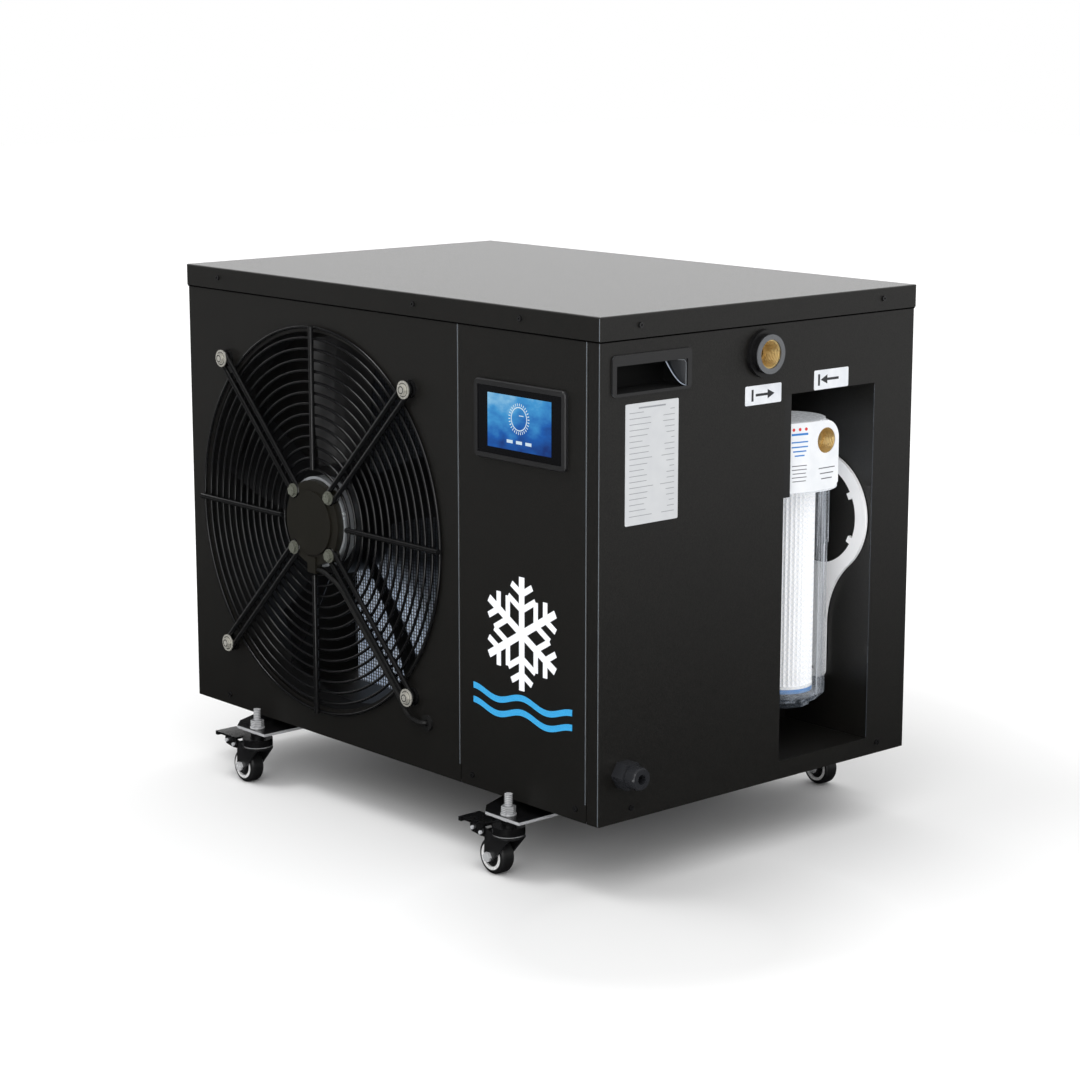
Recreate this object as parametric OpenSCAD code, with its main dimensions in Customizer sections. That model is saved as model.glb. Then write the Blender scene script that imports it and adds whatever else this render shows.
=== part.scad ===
// Ice bath chiller: a sheet steel cabinet on four casters, with an axial fan and its wire guard
// in front, a touch screen, a water filter in a side recess and a refrigeration set inside.
// The axes: X runs right along the front, the front faces -Y, Z is up from the floor.

/* [Cabinet] */
// Width of the lid
cab_w = 690; // [680:1:730]
// Depth of the lid
cab_d = 450; // [440:1:480]
// Height from the panels' lower edge to the lid's top
cab_h = 500; // [496:1:530]
// Height of the panels' lower edge above the floor
floor_h = 75; // [74:1:90]
// Thickness of the steel sheet
sheet = 1; // [0.8:0.1:1.2]
// Outer radius of a fold
bend_r = 2; // [1.6:0.1:3]
// Clearance between parts that slip over each other
fit = 0.2; // [0.1:0.05:0.3]
// Height of the lid's skirt
lid_skirt = 23.5; // [20:0.5:28]
// Width of an open seam between two panels
seam = 1.4; // [1:0.1:2]
// Width of the strip that a side panel folds round the front
wrap_w = 16.5; // [12:0.5:20]
// Depth of the folded edge behind a front panel
flange = 12; // [8:1:16]
// Height of the base pan's rim
pan_rim = 18; // [17:0.5:20]
// Height of the pan's underside above the panels' lower edge
pan_lift = 2; // [1:0.5:3]

/* [Case screws] */
// Radius of a case screw's head
screw_head_r = 2.8; // [2.4:0.1:4]
// Height of a case screw's head
screw_head_h = 1.8; // [1.2:0.1:2.4]
// Radius of a case screw's shank
screw_r = 1.6; // [1.4:0.1:2]
// Length of a case screw behind its head
screw_len = 8; // [6:0.5:10]
// Radius of the head's hex socket
screw_hex_r = 1.2; // [1:0.1:1.5]
// Depth of the head's hex socket
screw_hex_h = 0.9; // [0.6:0.1:1]
// Clearance round a screw's shank
screw_clear = 0.2; // [0.1:0.05:0.3]
// Drop of the lid's screws below the lid's top
lid_screw_drop = 11; // [9:0.5:14]
// Height of the lower screws
low_screw_z = 12; // [10:0.5:14]
// Place of the lid's front screws from the left corner
lid_screw_a = 62.4; // [50:1:80]
// Lid screw's distance left of the front seam
lid_screw_b = 70; // [50:1:90]
// Lid screw's distance right of the front seam
lid_screw_c = 96; // [80:1:110]
// Lower screw's distance from the left corner
low_screw_a = 66.5; // [50:1:80]
// Lower screw's distance right of the front seam
low_screw_b = 19.6; // [16:0.5:30]
// Lower screw's distance left of the side panel's seam
low_screw_c = 14.5; // [13.5:0.5:20]
// Side panel's lid screws' distance from the corners
side_screw_a = 52; // [45:1:60]
// Side panel's lower screws' distance from the corners
side_screw_b = 44.5; // [40:1:60]

/* [Fan] */
// Shift of the fan's centre left of its panel's middle
fan_shift = 0.6; // [0:0.1:2]
// Shift of the fan's centre below the cabinet's middle
fan_sink = 11.5; // [8:0.5:14]
// Least width of the panel beside the fan's hole
fan_margin = 32.9; // [31:0.1:60]
// Least height of the panel below the fan's hole
fan_margin_low = 32.4; // [31:0.1:60]
// Depth of the ring behind the hole
shroud_len = 40; // [30:1:50]
// Gap between the blade tips and the hole
tip_gap = 8; // [5:0.5:14]
// Number of blades
blade_n = 5; // [3:1:6]
// Thickness of a blade
blade_t = 1.6; // [1.2:0.1:2]
// Angle of the first blade
blade_start = 22; // [0:1:71]
// Outer radius of the blades' hub ring
hub_r = 60; // [57:0.5:62]
// Length of the hub ring
hub_len = 40; // [36:1:44]
// Outer radius of the rotor's shell
rotor_r = 49.5; // [48:0.5:52]
// Length of the rotor's shell
rotor_len = 54; // [50:1:60]
// Wall of the rotor's shell
rotor_wall = 3; // [2:0.5:4]
// Radius of the rotor's shaft
shaft_r = 6; // [5:0.5:7]
// Running clearance round the shaft
shaft_run = 0.05; // [0.02:0.01:0.08]
// Radius of the stator's front flange
stator_r = 46; // [44:0.5:47]
// Radius of the raised disc on the stator
stator_disc_r = 35; // [30:0.5:35]
// Thickness of the stator's front flange
stator_flange = 7.4; // [6.5:0.1:8]
// Height of the raised disc
stator_disc_h = 2; // [1:0.1:3]

/* [Guard] */
// Number of guard rings
ring_n = 14; // [10:1:16]
// Radius of the innermost guard ring
ring_in_r = 58; // [56:0.5:60]
// Reach of the outermost guard ring past the hole
ring_lap = 5; // [3:0.5:8]
// Diameter of the ring wire
ring_wire = 3.2; // [2.5:0.1:4]
// Diameter of the four straight rods
rod_wire = 6; // [5:0.5:7]
// Diameter of the arm wire
arm_wire = 5.5; // [5:0.5:6]
// Half the distance between the two wires of an arm
arm_half = 6; // [5.8:0.1:7]
// Bolt circle radius of the motor
motor_bolt_r = 44.6; // [44:0.1:46]
// Distance of the guard's corner bolts from the hole's edge
guard_bolt_out = 23.8; // [20:0.1:25]
// Radius of the M6 bolts
bolt_r = 3; // [2.5:0.5:3]
// Radius of a guard bolt's washer
bolt_washer_r = 9.5; // [8:0.5:10]
// Radius of a motor bolt's washer
motor_washer_r = 7.5; // [7:0.5:8.5]
// Thickness of a bolt's washer
bolt_washer_t = 1.2; // [1:0.1:1.6]
// Height of a bolt's head
bolt_head_h = 2.8; // [2:0.1:4]
// Width across the flats of a bolt's head
bolt_flats = 10; // [9:0.5:11]
// Radius of the motor's cable
cable_r = 2.5; // [2:0.1:3]
// Grommet's distance from the corner bolt, across and down
grommet_off = 23.8; // [20:0.2:26]

/* [Screen] */
// Width of the screen's bezel
bezel_w = 136.6; // [130:0.2:144]
// Height of the screen's bezel
bezel_h = 79; // [76:0.5:90]
// Thickness of the bezel in front of the panel
bezel_t = 4; // [3.5:0.5:6]
// Corner radius of the bezel
bezel_r = 6; // [4:0.5:8]
// Width of the bezel's frame
bezel_frame = 5.6; // [4:0.1:6]
// Bevel of the bezel's edge
bezel_bevel = 1; // [0.5:0.1:1.5]
// Width of the panel that holds the screen
control_w = 190.5; // [186:0.5:210]
// Drop of the screen's centre below the lid's top
screen_drop = 114.6; // [110:0.2:125]
// Depth of the glass below the bezel's front
glass_drop = 0.8; // [0.5:0.1:1]
// Thickness of the screen's glass
glass_t = 1.6; // [1:0.1:2]
// Width of the lit picture
lcd_w = 95; // [90:1:100]
// Height of the lit picture
lcd_h = 53.9; // [50:0.1:58]
// Depth of the screen's module behind the panel
module_d = 13; // [10:1:16]

/* [Front sign] */
// Drop of the snowflake's centre below the screen's centre
sign_drop = 211.4; // [205:0.2:220]
// Length of a snowflake's arm
flake_arm = 58; // [50:1:60]
// Width of a snowflake's arm
flake_bar = 8; // [6:0.5:9]
// Length of the waves
wave_len = 150; // [120:1:156]
// Height of a wave's swing
wave_swing = 4; // [3:0.5:5]
// Thickness of a wave's line
wave_line = 6.5; // [5:0.5:7]
// Distance between the two waves
wave_pitch = 15; // [13:0.5:17]
// Thickness of the sign's film
film = 0.3; // [0.2:0.05:0.4]

/* [Carry handles] */
// Width of a handle's bezel
grip_w = 105; // [100:1:115]
// Height of a handle's bezel
grip_h = 40; // [36:1:44]
// Thickness of a handle's bezel
grip_t = 2; // [1.5:0.1:3]
// Corner radius of a handle's bezel
grip_r = 5; // [4:0.5:6]
// Width of a handle's opening
grip_open_w = 94; // [88:1:96]
// Height of a handle's opening
grip_open_h = 26.6; // [24:0.2:28]
// Opening's lower edge above the bezel's lower edge
grip_lip = 3; // [3:0.5:5]
// Depth of a handle's cup
grip_depth = 34; // [28:1:38]
// Wall of a handle's cup
grip_wall = 2; // [1.5:0.1:2.5]
// Drop of a handle's lower edge below the lid's top
grip_drop = 78; // [75:1:82]
// Handle's distance from the cabinet's front
grip_y = 15.5; // [15:0.5:30]

/* [Side ports] */
// Radius of both brass ports' thread
port_r = 13.25; // [12.5:0.05:13.5]
// Outer radius of the brass outlet
port_out_r = 14.5; // [14.3:0.1:15.5]
// Place of the outlet from the middle of the side
outlet_y = -3; // [-6:0.5:0]
// Drop of the outlet below the lid's top
outlet_drop = 53; // [53:0.5:60]
// Radius of the outlet's flange
outlet_flange_r = 24; // [22:0.5:26]
// Thickness of the outlet's flange
outlet_flange_t = 4.6; // [4:0.1:6]
// Radius of the outlet's collar
outlet_collar_r = 19.75; // [19:0.05:20.5]
// Reach of the outlet's collar past its flange
outlet_collar_t = 6.4; // [5:0.1:8]
// Depth of the outlet's thread behind the collar's front
port_len = 20; // [16:1:22]
// Depth of the outlet's brass below the collar's front
port_sink = 2; // [1:0.5:3]
// Radius of the outlet's bore behind the thread
port_back_r = 9; // [8:0.5:10]
// Cable gland's distance from the cabinet's front
gland_in = 33; // [27:0.5:36]
// Height of the cable gland
gland_z = 49.2; // [46:0.2:52]
// Width across the flats of the gland's base
gland_flats = 26; // [24:0.5:27]
// Thickness of the gland's base
gland_base_t = 15; // [12:0.5:16]
// Radius of the gland's dome nut
gland_nut_r = 11.5; // [11:0.1:12]
// Length of the gland's dome nut
gland_nut_len = 13; // [11:0.5:16]
// Radius of the gland's barrel
gland_barrel_r = 9.8; // [9:0.1:10.2]
// Radius of the gland's bore
gland_bore_r = 5; // [4:0.5:6]

/* [Filter recess] */
// Recess's near edge from the middle of the side
recess_y0 = 29.5; // [27:0.5:30]
// Recess's far edge from the middle of the side
recess_y1 = 163.5; // [163:0.5:168]
// Drop of the recess's top edge below the lid's top
recess_drop = 98; // [92:1:100]
// Depth of the recess
recess_depth = 119; // [116:1:120]
// Depth of the filter's axis behind the side
filter_in = 61; // [58:0.5:62]
// Filter's axis from the middle of the side
filter_y = 97.5; // [96:0.5:98.5]
// Height of the bowl's lower end above the recess's floor
bowl_lift = 40; // [36:0.5:44]
// Radius of the bowl
bowl_r = 44.5; // [43.5:0.5:45]
// Wall of the bowl
bowl_wall = 3; // [2.5:0.5:3.5]
// Height of the bowl's knob
knob_h = 8; // [6:0.5:10]
// Radius of the bowl's knob
knob_r = 29; // [26:0.5:32]
// Number of grip ribs on the bowl
rib_n = 20; // [12:1:24]
// Length of the ribs, with the gap above them
rib_len = 59; // [50:1:65]
// Drop of the head's lower edge below the recess's top
head_drop = 108; // [104:1:112]
// Radius of the head's collar
head_r = 53; // [52:0.5:54]
// Height of the head's collar
collar_h = 14; // [12:0.5:18]
// Radius of the head's dome
dome_r = 44; // [43:0.5:46]
// Height of the head
dome_h = 72; // [68:1:76]
// Length that the bowl screws into the head
thread_len = 21; // [18:0.5:22]
// Clearance of the bowl's thread
thread_run = 0.35; // [0.3:0.05:0.5]
// Height of both filter ports above the head's lower edge
inlet_up = 55; // [51:0.5:55]
// Inlet port from the middle of the side
inlet_y = 92.5; // [90:0.1:98]
// Outer radius of the boss behind the head
boss_r = 17; // [15:0.5:17]
// Outer radius of the inlet's brass fitting
insert_r = 16; // [15.2:0.1:16.2]
// Depth of the inlet's thread
insert_len = 15; // [12:0.5:16]
// Depth of the inlet fitting's seat in the head
seat = 14; // [10:1:16]
// Radius of the cartridge
cart_r = 31; // [28:0.5:33]
// Height of the cartridge's lower end above the bowl's lower end
cart_lift = 16; // [15:0.5:19]
// Reach of the cartridge into the head
cart_up = 23; // [18:1:26]
// Number of pleats round the cartridge
pleat_n = 40; // [24:1:48]
// Depth of a pleat
pleat_d = 2; // [1:0.5:3]
// Width of the bracket's strip
bracket_w = 10; // [8:0.5:10.5]
// Height of the bracket's lower end above the head's lower edge
bracket_up = 2; // [1:1:8]
// Thickness of the bracket
bracket_t = 2; // [1.5:0.1:2.5]
// Label's near edge from the middle of the side
label_y0 = 41.4; // [41:0.2:43]
// Label's fold from the middle of the side
label_fold = 68; // [64:1:72]
// Label's far edge from the middle of the side
label_y1 = 111; // [108:0.5:116]
// Height of the label's lower edge above the head's lower edge
label_up = 4; // [2:0.5:8]
// Height of the label
label_h = 72; // [68:0.5:73]
// Angle of the label's folded part
label_angle = 12; // [8:1:15]
// Thickness of the label
label_t = 0.8; // [0.5:0.1:1]
// Radius of the label's rounded corner
label_round = 20; // [16:1:22]

/* [Wrench] */
// Depth of the wrench's ring centre behind the side
wrench_in = 72; // [70:0.5:73]
// Drop of the wrench's ring centre below the recess's top
wrench_drop = 147; // [142:1:152]
// Inner radius of the wrench's ring
wrench_in_r = 54; // [48:0.5:56]
// Outer radius of the wrench's ring
wrench_out_r = 68; // [64:0.5:69]
// Width of the wrench's handle
wrench_grip = 36; // [30:1:38]
// Handle's right edge from the ring's centre
wrench_right = 14; // [12:0.5:16]
// Radius of the hollow between the ring and the handle
wrench_web_r = 90; // [70:1:100]
// Height of the handle's lower end above the recess's floor
wrench_lift = 56; // [51:1:61]
// Thickness of the wrench
wrench_t = 4; // [3:0.5:7]
// Thickness of the pad that the wrench sits on
pad_t = 1; // [0.8:0.1:1.5]
// Angle that the wrench's ring reaches round, from the right
wrench_reach = 112; // [100:1:120]

/* [Casters] */
// Right casters' place from the cabinet's middle
stud_right = 228; // [220:1:240]
// Left casters' place from the cabinet's middle
stud_left = -205; // [-215:1:-195]
// Casters' place from the cabinet's middle, front and back
stud_y = 239.5; // [238:0.5:250]
// Height of the rail's top below the panels' lower edge
rail_drop = 10; // [8:0.5:12]
// Thickness of the rail
rail_t = 3; // [2:0.5:4]
// Reach of the rail past the stud, front and back
rail_reach = 10.5; // [10:0.5:14]
// Radius of the stud
stud_r = 4; // [3.5:0.5:4]
// Reach of the stud above the panels' lower edge
stud_top = 12; // [9:0.5:14]
// Width across the flats of the stud's nuts
nut_flats = 13; // [12:0.5:14]
// Height of a stud's nut
nut_h = 6.5; // [6:0.1:7]
// Radius of a stud's washer
washer_r = 8.2; // [7.8:0.1:9]
// Thickness of a stud's washer
washer_t = 1.5; // [1.2:0.1:2]
// Radius of the swivel's cup
cup_r = 17; // [16:0.5:18]
// Height of the swivel's cup
cup_h = 8; // [6:0.5:9]
// Radius of the wheel
wheel_r = 19; // [17:0.5:19.5]
// Width of the wheel
wheel_w = 17; // [15:0.5:18]
// Wheel's distance behind the swivel's axis
trail = 18; // [16:0.5:20]
// Radius of the tyre's seat
rim_r = 14.5; // [13.5:0.5:15]
// Corner radius of the tyre
tyre_round = 4; // [3:0.5:4.4]
// Radius of the axle
axle_r = 3; // [2.5:0.5:3]
// Running clearance of the wheel and the swivel
run = 0.05; // [0.02:0.01:0.08]
// Thickness of the fork's plates
fork_t = 2; // [1.5:0.1:2.2]
// Gap between the wheel and the fork
fork_gap = 1; // [0.8:0.1:1.5]
// Length of the brake pedal's tread
pedal_len = 36; // [32:1:40]
// Thickness of the brake pedal's plates
pedal_t = 2.2; // [1.5:0.1:2.4]

/* [Inside] */
// Left vent's near edge from the middle of the side
vent_y0 = 9; // [5:1:15]
// Left vent's far edge from the middle of the side
vent_y1 = 189; // [180:1:190]
// Height of the left vent's lower edge
vent_z0 = 24; // [22:1:28]
// Height of the left vent's upper edge
vent_z1 = 134; // [125:1:140]
// Distance between the vent's holes
vent_pitch = 10; // [9:0.5:12]
// Radius of the vent's holes
vent_hole_r = 3.6; // [3:0.1:4]
// Inner wall's distance left of the front seam
divider_off = 8; // [7:0.5:10]
// Depth of the condenser's face behind the front
cond_in = 174; // [165:1:200]
// Width of the condenser
cond_w = 370; // [340:1:400]
// Thickness of the condenser
cond_t = 25; // [20:1:28]
// Number of tube rows in the condenser
cond_rows = 10; // [6:1:12]
// Radius of the compressor's shell
comp_r = 60; // [50:1:62]
// Height of the compressor's shell
comp_h = 210; // [180:1:215]
// Radius of the water hoses
hose_r = 9; // [8:0.5:10]
// Radius of the copper pipes
pipe_r = 4; // [3:0.5:5]

/* [Hidden] */
$fn = 48;

// Colours
black_coat = [0.11, 0.11, 0.11];
black_plastic = [0.07, 0.07, 0.07];
zinc = [0.78, 0.78, 0.76];
brass = [0.8, 0.62, 0.25];
copper = [0.72, 0.42, 0.26];
clear_grey = [0.72, 0.76, 0.8, 0.5];
white_plastic = [0.93, 0.93, 0.93];

// One overrun serves all cuts
over = 1;

// The panels' outer size, and the faces that all else is measured from
body_w = cab_w - 2*(sheet + fit);
body_d = cab_d - 2*(sheet + fit);
face_y = -body_d/2;
side_x = body_w/2;
panel_top = cab_h - bend_r - fit;
gland_y = gland_in - cab_d/2;
in_y = face_y + sheet;
in_x = side_x - sheet;
floor_z = pan_lift + sheet;
control_x = side_x - wrap_w - seam;
gland_tip = side_x + gland_base_t + gland_nut_len + fit;
x_shift = (gland_tip - cab_w/2 - screw_head_h)/2;
seam_x = control_x - control_w - seam;
fan_x = (seam_x - side_x)/2 - fan_shift;
fan_z = cab_h/2 - fan_sink;
fan_hole_r = min((seam_x + side_x)/2 - fan_margin, fan_z - fan_margin_low);
blade_tip_r = fan_hole_r - tip_gap;
ring_out_r = fan_hole_r + ring_lap;
guard_bolt_r = fan_hole_r + guard_bolt_out;
guard_bolt_half = guard_bolt_r/sqrt(2);
grommet_x = guard_bolt_half + grommet_off;
grommet_z = fan_z - grommet_x;
lid_under = cab_h - lid_skirt;
screen_z = cab_h - screen_drop;
sign_z = screen_z - sign_drop;
grip_z = cab_h - grip_drop;
outlet_z = cab_h - outlet_drop;
// Heights in the recess
recess_floor = pan_rim + sheet;
recess_top = cab_h - recess_drop;
head_z = recess_top - head_drop;
dome_z = head_z + dome_h;
inlet_z = head_z + inlet_up;
bowl_z = recess_floor + bowl_lift;
rib_z = head_z - rib_len;
cart_z = bowl_z + cart_lift;
cart_top = head_z + cart_up;
bracket_z = head_z + bracket_up;
label_z0 = head_z + label_up;
label_z1 = label_z0 + label_h;
wrench_z = recess_top - wrench_drop;
wrench_low = recess_floor + wrench_lift;

// The inside: the inner wall, then what stands on each side of it
divider_x = seam_x - divider_off;
divider_gap = 3;
cond_y = face_y + cond_in;
cable_in = 53.8;
cable_in_y = face_y + cable_in;
cable_in_z = 62;
comp_x = (divider_x + in_x)/2;
comp_y = recess_y0 - 2*comp_r - divider_gap/2;
ebox = [120, 96, 90];
ebox_lift = 49;
ebox_gap = 10;
ebox_z = floor_z + comp_h + ebox_lift;
ebox_y = in_y + module_d + ebox_gap;

// Depths in front of the fan panel
ring_y = face_y - ring_wire/2 - 2*fit;
rod_sink_share = 0.25;
rod_y = ring_y - ring_wire/2 - rod_wire/2 + ring_wire*rod_sink_share;
arm_slack = 0.05;
arm_y = ring_y - ring_wire/2 - arm_wire/2 - arm_slack;
arm_front = arm_y - arm_wire/2 - arm_slack;
arm_back = arm_y + arm_wire/2 + arm_slack;

module placed() { translate([-x_shift, 0, floor_h]) children(); }

// Plane shapes with true arcs
module rrect(w, h, r) {
    square([w - 2*r, h], center = true);
    square([w, h - 2*r], center = true);
    for (i = [-1, 1], j = [-1, 1]) {
        translate([i*(w/2 - r), j*(h/2 - r)]) circle(r = r);
    }
}
module span(x0, y0, x1, y1) { translate([x0, y0]) square([x1 - x0, y1 - y0]); }
module hexagon(flats) { circle(r = flats/sqrt(3), $fn = 6); }

// Solids that lie along an axis
module front_slab(y0, y1) { translate([0, y1, 0]) rotate([90, 0, 0]) linear_extrude(y1 - y0) children(); }
module side_slab(x0, x1) { translate([x0, 0, 0]) rotate([90, 0, 90]) linear_extrude(x1 - x0) children(); }
module up_slab(z0, z1) { translate([0, 0, z0]) linear_extrude(z1 - z0) children(); }
module y_rod(r, y0, y1) { translate([0, y0, 0]) rotate([-90, 0, 0]) cylinder(r = r, h = y1 - y0); }
module x_rod(r, x0, x1) { translate([x0, 0, 0]) rotate([0, 90, 0]) cylinder(r = r, h = x1 - x0); }
module z_rod(r, z0, z1) { translate([0, 0, z0]) cylinder(r = r, h = z1 - z0); }
module y_turn() { rotate([-90, 0, 0]) rotate_extrude() children(); }
module at_fan() { translate([fan_x, 0, fan_z]) children(); }
module both_sides() { children(); mirror([1, 0, 0]) children(); }

// A tube swept along points: each ring stands square to the way between its neighbours
function unit(v) = v/norm(v);
function ease(a, b, c, d, t) = 0.5*((2*b) + (c - a)*t + (2*a - 5*b + 4*c - d)*t*t + (3*b - a - 3*c + d)*t*t*t);
function curve(p, n) = let (m = len(p) - 1) [for (i = [0:m - 1], k = [0:n - 1])
    ease(p[max(i - 1, 0)], p[i], p[i + 1], p[min(i + 2, m)], k/n), p[m]];
function way(q, i) = unit(q[min(i + 1, len(q) - 1)] - q[max(i - 1, 0)]);
function side_of(w) = unit(abs(w[2]) < 0.9 ? cross(w, [0, 0, 1]) : cross(w, [0, 1, 0]));
function carry(v, w) = unit(v - (v*w)*w);
function sides_along(q, i, v) = i >= len(q) ? [] :
    let (u = carry(v, way(q, i))) concat([u], sides_along(q, i + 1, u));
module swept(p, r, n, sides) {
    q = curve(p, n);
    u = sides_along(q, 0, side_of(way(q, 0)));
    m = len(q);
    pts = [for (i = [0:m - 1], j = [0:sides - 1]) let (a = 360*j/sides, w = way(q, i))
        q[i] + r*(cos(a)*u[i] + sin(a)*cross(w, u[i]))];
    polyhedron(pts, concat([[for (j = [0:sides - 1]) j]],
        [for (i = [0:m - 2], j = [0:sides - 1]) let (k = (j + 1)%sides)
            [i*sides + j, (i + 1)*sides + j, (i + 1)*sides + k, i*sides + k]],
        [[for (j = [sides - 1:-1:0]) (m - 1)*sides + j]]));
}

// Case screws: each place is a point on the outer face and the way that the screw looks
lid_screw_z = cab_h - lid_screw_drop;
front_lid_xs = [-cab_w/2 + lid_screw_a, seam_x - lid_screw_b, seam_x + lid_screw_c];
front_low_xs = [-cab_w/2 + low_screw_a, seam_x + low_screw_b, control_x - low_screw_c];
lid_ys = [-cab_d/2 + side_screw_a, cab_d/2 - side_screw_a];
low_ys = [-cab_d/2 + side_screw_b, cab_d/2 - side_screw_b];
back_xs = [-cab_w/2 + lid_screw_a, 0, cab_w/2 - lid_screw_a];
screws_lid = concat(
    [for (x = front_lid_xs) [[x, -cab_d/2, lid_screw_z], 0]],
    [for (x = back_xs) [[x, cab_d/2, lid_screw_z], 180]],
    [for (s = [-1, 1], y = lid_ys) [[s*cab_w/2, y, lid_screw_z], s*90]]);
screws_low = concat(
    [for (x = front_low_xs) [[x, face_y, low_screw_z], 0]],
    [for (x = back_xs) [[x, -face_y, low_screw_z], 180]],
    [for (s = [-1, 1], y = low_ys) [[s*side_x, y, low_screw_z], s*90]]);
module at_screws(list) {
    for (s = list) translate(s[0]) rotate([0, 0, s[1]]) children();
}
module screw_holes() {
    at_screws(concat(screws_lid, screws_low)) y_rod(screw_r + screw_clear, -over, screw_len + over);
}
module case_screw() {
    difference() {
        union() {
            y_rod(screw_head_r, -screw_head_h, 0);
            y_rod(screw_r, 0, screw_len);
        }
        translate([0, -screw_head_h - over, 0]) rotate([-90, 0, 0])
            cylinder(r = screw_hex_r, h = screw_hex_h + over, $fn = 6);
    }
}
module case_screws() {
    placed() color(zinc) at_screws(concat(screws_lid, screws_low)) case_screw();
}

// Lid: a tray with rounded folds, upside down
module lid_block(w, d, z0, z1, r) {
    intersection() {
        up_slab(z0, z1) rrect(w, d, r);
        front_slab(-d/2, d/2) round_top(w, z0, z1, r);
        side_slab(-w/2, w/2) round_top(d, z0, z1, r);
    }
}
module round_top(w, z0, z1, r) {
    span(-w/2, z0, w/2, z1 - r);
    span(-w/2 + r, z0, w/2 - r, z1);
    for (s = [-1, 1]) translate([s*(w/2 - r), z1 - r]) circle(r = r);
}
module lid() {
    placed() color(black_coat) difference() {
        lid_block(cab_w, cab_d, cab_h - lid_skirt, cab_h, bend_r);
        lid_block(cab_w - 2*sheet, cab_d - 2*sheet, cab_h - lid_skirt - over, cab_h - sheet, bend_r - sheet);
        screw_holes();
    }
}

// Panels: parts of one folded ring, seen from above
module shell_plan() {
    difference() {
        rrect(body_w, body_d, bend_r);
        rrect(body_w - 2*sheet, body_d - 2*sheet, bend_r - sheet);
    }
}
module cut_plan(x0, y0, x1, y1) {
    intersection() {
        shell_plan();
        span(x0, y0, x1, y1);
    }
}
// The folded edge of a front panel: a quarter bend and a strip that runs back from it
module fold_plan(x) {
    translate([x - bend_r, face_y + bend_r]) intersection() {
        difference() {
            circle(r = bend_r);
            circle(r = bend_r - sheet);
        }
        span(0, -bend_r, bend_r, 0);
    }
    span(x - sheet, face_y + bend_r, x, face_y + flange);
}
fold_z = pan_rim + over;
module front_panel(x0, x1, far_left) {
    up_slab(0, panel_top) {
        cut_plan(far_left ? -side_x - over : x0, face_y - over, x1 - bend_r, far_left ? face_y + wrap_w : in_y);
    }
    up_slab(0, fold_z) span(x1 - bend_r, face_y, x1, in_y);
    up_slab(fold_z, panel_top) fold_plan(x1);
}
grommet_at = [fan_x + grommet_x, 0, grommet_z];
grommet_hole_r = cable_r + 3.5*fit*5;
module fan_panel() {
    placed() color(black_coat) difference() {
        union() {
            front_panel(0, seam_x, true);
            at_fan() y_rod(fan_hole_r + sheet, face_y, face_y + shroud_len);
        }
        at_fan() y_rod(fan_hole_r, face_y - over, face_y + shroud_len + over);
        at_guard_bolts() y_rod(bolt_r + screw_clear, face_y - over, in_y + over);
        translate(grommet_at) y_rod(grommet_hole_r, face_y - over, in_y + over);
        screw_holes();
    }
}
screen_x = (seam_x + seam + control_x)/2;
module control_panel() {
    placed() color(black_coat) difference() {
        front_panel(seam_x + seam, control_x, false);
        front_slab(face_y - over, in_y + over) translate([screen_x, screen_z])
            square([window_w, window_h], center = true);
        screw_holes();
    }
}
grip_cut_y = -cab_d/2 + grip_y + grip_w/2;
grip_cut_z = grip_z + grip_lip + grip_open_h/2;
module grip_cut() {
    translate([grip_cut_y, grip_cut_z])
        square([grip_open_w + 2*(grip_wall + fit), grip_open_h + 2*(grip_wall + fit)], center = true);
}
notch = [sheet*2, sheet*5];
notch_z_shares = [0.1, 0.87];
module side_panel_right() {
    placed() color(black_coat) difference() {
        up_slab(0, panel_top) cut_plan(side_x - wrap_w, -body_d, side_x + over, body_d);
        side_slab(in_x - over, side_x + over) {
            span(recess_y0, recess_floor, recess_y1, recess_top);
            for (s = notch_z_shares) translate([recess_y1, recess_floor + s*(recess_top - recess_floor)])
                square(notch, center = true);
            grip_cut();
            translate([outlet_y, outlet_z]) circle(r = port_out_r + screw_clear);
            translate([gland_y, gland_z]) circle(r = gland_barrel_r + screw_clear);
        }
        screw_holes();
    }
}
module side_panel_left() {
    placed() color(black_coat) difference() {
        up_slab(0, panel_top) cut_plan(-side_x - over, face_y + wrap_w + seam, -side_x + wrap_w, body_d);
        side_slab(-side_x - over, -in_x + over) {
            span(vent_y0, vent_z0, vent_y1, vent_z1);
            grip_cut();
        }
        screw_holes();
    }
}
slot_rows = 16;
slot_h = 7;
slot_w_share = 0.4;
slot_z_shares = [0.12, 0.88];
module back_panel() {
    edge = side_x - wrap_w - seam;
    placed() color(black_coat) difference() {
        union() {
            up_slab(0, panel_top) span(-edge, -in_y, edge, -face_y);
            for (s = [-1, 1]) up_slab(fold_z, panel_top)
                span(s*edge - (s > 0 ? sheet : 0), -face_y - flange, s*edge + (s > 0 ? 0 : sheet), -in_y);
        }
        front_slab(-in_y - over, -face_y + over) for (s = [-1, 1], k = [0:slot_rows - 1])
            translate([s*edge/2, panel_top*(slot_z_shares[0] + (slot_z_shares[1] - slot_z_shares[0])*k/(slot_rows - 1))])
                square([2*edge*slot_w_share, slot_h], center = true);
        screw_holes();
    }
}
grille_edge = 4;
module vent_grille() {
    nx = floor((vent_y1 - vent_y0)/vent_pitch);
    nz = floor((vent_z1 - vent_z0)/vent_pitch);
    placed() color(black_coat) side_slab(-in_x, -in_x + sheet) difference() {
        span(vent_y0 - grille_edge, vent_z0 - grille_edge + sheet, vent_y1 + grille_edge, vent_z1 + grille_edge);
        for (i = [0:nx - 1], k = [0:nz - 1])
            translate([vent_y0 + (i + 0.5)*vent_pitch, vent_z0 + (k + 0.5)*vent_pitch]) circle(r = vent_hole_r, $fn = 16);
    }
}

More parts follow.
